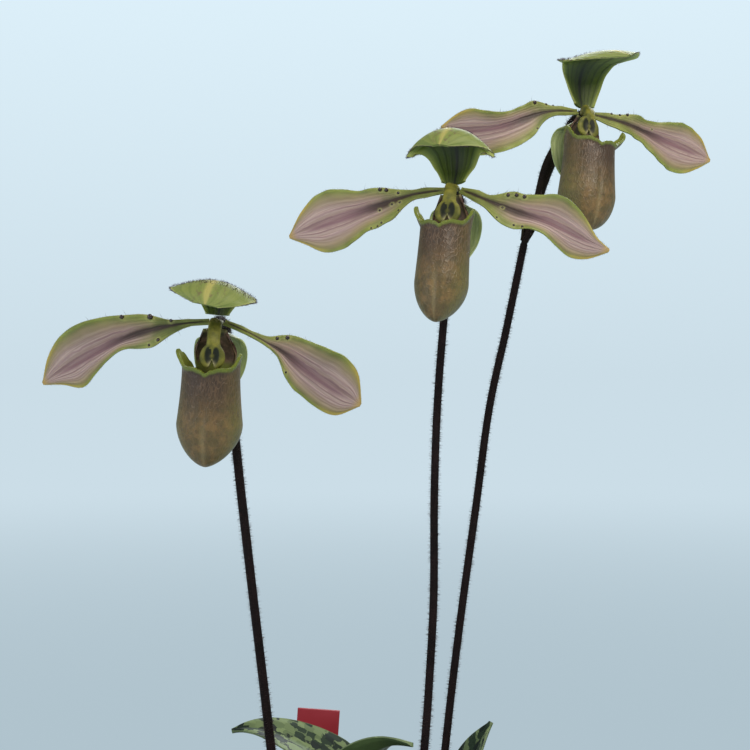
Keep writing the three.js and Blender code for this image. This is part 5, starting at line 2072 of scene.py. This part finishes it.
@dataclass
class Bark:
    """Filling of the pot: a bed with loose chunks of bark on its top."""

    surface: float = 83
    radius: float = 43.2
    foot_radius: float = 35
    foot: float = 2.85
    chunks: int = 230
    seed: int = 11
    crowns: tuple[tuple[float, float], ...] = tuple(fan.centre for fan in FANS)
    clear: float = 10.5
    label_foot: tuple[float, float] = (-16.8, 33)
    label_clear: float = 5
    chunk_size: tuple[float, float] = (4, 8.5)

    def bed(self) -> bpy.types.Object:
        """Makes the bed: a disc drawn up into the pot's shape.

        Returns:
            The bed.
        """
        clear_selection()
        bpy.ops.mesh.primitive_circle_add(vertices=72, radius=self.foot_radius * MM, fill_type="TRIFAN",
                                          location=(0, 0, self.foot * MM))
        bed = bpy.context.active_object
        choose(bed)
        bpy.ops.object.transform_apply(location=True)
        bpy.ops.object.mode_set(mode="EDIT")
        rise = (self.surface - self.foot) * MM
        grow = self.radius / self.foot_radius
        bpy.ops.mesh.extrude_region_move(TRANSFORM_OT_translate={"value": (0, 0, rise)})
        bpy.ops.transform.resize(value=(grow, grow, 1), center_override=(0, 0, self.surface * MM))
        bpy.ops.mesh.inset(thickness=4 * MM)
        bpy.ops.mesh.select_all(action="SELECT")
        bpy.ops.mesh.normals_make_consistent(inside=False)
        bpy.ops.object.mode_set(mode="OBJECT")
        return bed

    def chunk_form(self, rng: random.Random) -> bpy.types.Object:
        """Makes one rough chunk, about 1 unit across: a block, bevelled, cut up and worn unevenly.

        Args:
            rng: The random numbers.

        Returns:
            The chunk.
        """
        clear_selection()
        bpy.ops.mesh.primitive_cube_add(size=1)
        chunk = bpy.context.active_object
        bpy.ops.object.mode_set(mode="EDIT")
        bpy.ops.mesh.bevel(offset=0.12, segments=1, affect="EDGES")
        bpy.ops.mesh.subdivide(number_cuts=1)
        bpy.ops.object.mode_set(mode="OBJECT")
        for vertex in chunk.data.vertices:
            vertex.co.z = vertex.co.z * (0.55 + 0.2 * math.sin(3 * vertex.co.x + rng.uniform(-0.3, 0.3)))
            vertex.co += Vector([rng.uniform(-0.07, 0.07) for _ in range(3)])
        return chunk

    def build(self) -> None:
        """Scatters chunks over the bed, clear of the fans, and joins them to it."""
        rng = random.Random(self.seed)
        groups: list[list[Planting]] = [[], [], []]
        count = 0
        while count < self.chunks:
            reach, turn = (self.radius - 3.5) * math.sqrt(rng.random()), rng.uniform(0, 2 * math.pi)
            x, y = reach * math.cos(turn), reach * math.sin(turn)
            blocked = any(math.hypot(x - cx, y - cy) < self.clear for cx, cy in self.crowns)
            if blocked or math.hypot(x - self.label_foot[0], y - self.label_foot[1]) < self.label_clear:
                continue
            size = rng.uniform(*self.chunk_size)
            height = self.surface - 0.8 + rng.uniform(0, 2.2)
            lean = Vector((rng.uniform(-0.5, 0.5), rng.uniform(-0.5, 0.5), 1))
            way = Vector((rng.uniform(-1, 1), rng.uniform(-1, 1), 0))
            groups[count % 3].append(Planting(Vector((x, y, height)), lean, size * 0.55, size, way))
            count += 1
        bed = self.bed()
        parts = [planted(f"bark_{k}", self.chunk_form(rng), group) for k, group in enumerate(groups)]
        choose(bed)
        for part in parts:
            part.select_set(True)
        bpy.context.view_layer.objects.active = bed
        bpy.ops.object.join()
        piece = named(bpy.context.active_object, "bark_bed")
        soften(piece, 38)
        dress(piece, "bark", BarkFinish().material())
        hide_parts("potting_medium")
        report(piece)


@dataclass
class Label:
    """Blank plastic tag with a pointed foot, pushed into the bark."""

    width: float = 11.6
    thickness: float = 1.0
    length: float = 90
    point: float = 9
    lean: float = 3.8
    round_edge: float = 0.22
    foot: tuple[float, float, float] = (-18.9, 33, 58.4)

    def build(self) -> None:
        """Makes a thin block, draws its foot to a point, rounds its edges and leans it."""
        body = self.length - self.point
        clear_selection()
        bpy.ops.mesh.primitive_cube_add(size=1, location=(0, 0, self.point + body / 2))
        piece = named(bpy.context.active_object, "label_tag")
        piece.scale = (self.width, self.thickness, body)
        choose(piece)
        bpy.ops.object.transform_apply(location=True, rotation=True, scale=True)
        open_faces(piece, lambda corner: corner.z < self.point + 0.01)
        bpy.ops.mesh.extrude_region_move(TRANSFORM_OT_translate={"value": (0, 0, -self.point)})
        bpy.ops.transform.resize(value=(2 / self.width, 1, 1), center_override=(0, 0, 0))
        bpy.ops.mesh.select_all(action="SELECT")
        bpy.ops.mesh.subdivide(number_cuts=3)
        bpy.ops.object.mode_set(mode="OBJECT")
        with_modifier(piece, "BEVEL", width=self.round_edge, segments=3, limit_method="ANGLE")
        for mark, axis in (("label_x", 0), ("label_z", 2)):
            store(piece, mark, (vertex.co[axis] for vertex in piece.data.vertices))
        lean = Matrix.Translation(self.foot) @ Matrix.Rotation(math.radians(self.lean), 4, "Y")
        for vertex in piece.data.vertices:
            vertex.co = (lean @ vertex.co) * MM
        soften(piece, 40)
        dress(piece, "label_plastic", LabelFinish().material())
        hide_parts("plant_label")
        report(piece)


# Camera, lights and ground

@dataclass
class Studio:
    """Pale ground, soft lights and the photograph's viewpoint."""

    eye: tuple[float, float, float] = (2.5, -330, 240)
    frame_px: float = 750
    focal_px: float = 1321
    sensor: float = 36
    aim: tuple[float, float, float] = (0, 0, 0.24)
    ground_radius: float = 6
    ground_drop: float = 0.0002
    zenith_height: float = 0.28
    shade_light: float = 0.38

    def camera(self) -> None:
        """Sets the camera level in front of the plant, looking along +Y."""
        data = bpy.data.cameras.new("viewpoint")
        data.sensor_width = self.sensor
        data.lens = self.sensor * self.focal_px / self.frame_px
        data.clip_start = 0.01
        camera = bpy.data.objects.new("viewpoint", data)
        camera.location = Vector(self.eye) * MM
        camera.rotation_euler = (math.radians(90), 0, 0)
        bpy.context.scene.collection.objects.link(camera)
        bpy.context.scene.camera = camera

    def lamp(self, name: str, place: Vector, aim: Vector, size: float, power: float, tint: str) -> None:
        """Adds one soft square lamp.

        Args:
            name: The lamp's name.
            place: Where it stands, in metres.
            aim: The point that it faces.
            size: Its side in metres.
            power: Its power in watts.
            tint: Its colour.
        """
        data = bpy.data.lights.new(name, "AREA")
        data.size = size
        data.energy = power
        data.color = colour(tint)[:3]
        lamp = bpy.data.objects.new(name, data)
        lamp.location = place
        lamp.rotation_euler = (aim - place).to_track_quat("-Z", "Y").to_euler()
        bpy.context.scene.collection.objects.link(lamp)

    def air(self) -> None:
        """Sets the world: a backdrop that pales upwards, and an even light that is not seen itself."""
        tree = Tree("studio_air", bpy.data.worlds)
        height = tree.parts(tree.node("ShaderNodeTexCoord", {}, {}, "Generated"))[2]
        climb = tree.node("ShaderNodeMapRange", {}, {"Value": height, "From Max": self.zenith_height})
        seen = tree.node("ShaderNodeBackground", {}, {"Color": tree.blend(HORIZON, ZENITH, climb)})
        light = tree.node("ShaderNodeBackground", {}, {"Color": "#E6EEF2", "Strength": self.shade_light})
        straight = tree.node("ShaderNodeLightPath", {}, {}, "Is Camera Ray")
        mixed = tree.node("ShaderNodeMixShader", {}, [straight, light, seen])
        tree.node("ShaderNodeOutputWorld", {}, {"Surface": mixed})
        bpy.context.scene.world = tree.owner

    def build(self) -> None:
        """Sets up the ground, the backdrop's colour, the lamps and the camera."""
        clear_selection()
        bpy.ops.mesh.primitive_circle_add(vertices=64, radius=self.ground_radius, fill_type="TRIFAN",
                                          location=(0, 0, -self.ground_drop))
        ground = named(bpy.context.active_object, "ground")
        ground.data.materials.append(FloorFinish().material())
        self.air()
        aim = Vector(self.aim)
        self.lamp("key", Vector((0.28, -0.42, 0.78)), aim, 0.45, 4.2, "#FFF6E8")
        self.lamp("fill", Vector((-0.75, -0.5, 0.5)), aim, 0.7, 2.6, "#F4F4FA")
        self.lamp("rim", Vector((0.25, 0.8, 0.8)), aim, 0.6, 7, "#F4FAFF")
        self.camera()
        bpy.context.scene.view_settings.view_transform = "Standard"


def main() -> None:
    """Builds the whole plant, piece by piece, on the CAD frame."""
    logging.basicConfig(level=logging.INFO, format="%(name)s: %(message)s")
    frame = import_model()
    LOG.info("frame: %d nodes", len(frame["nodes"]))
    Studio().build()
    Pot().build()
    Bark().build()
    Label().build()
    upper, under = LeafFinish(LeafSide.UPPER).material(), LeafFinish(LeafSide.UNDER).material()
    for fan in FANS:
        fan.build(upper, under)
    paints = Paints()
    for seed, flower in enumerate((LEFT_FLOWER, MIDDLE_FLOWER, RIGHT_FLOWER), 1):
        Bloom(flower, paints, seed).build()
    clear_selection()


if __name__ == "__main__":
    main()
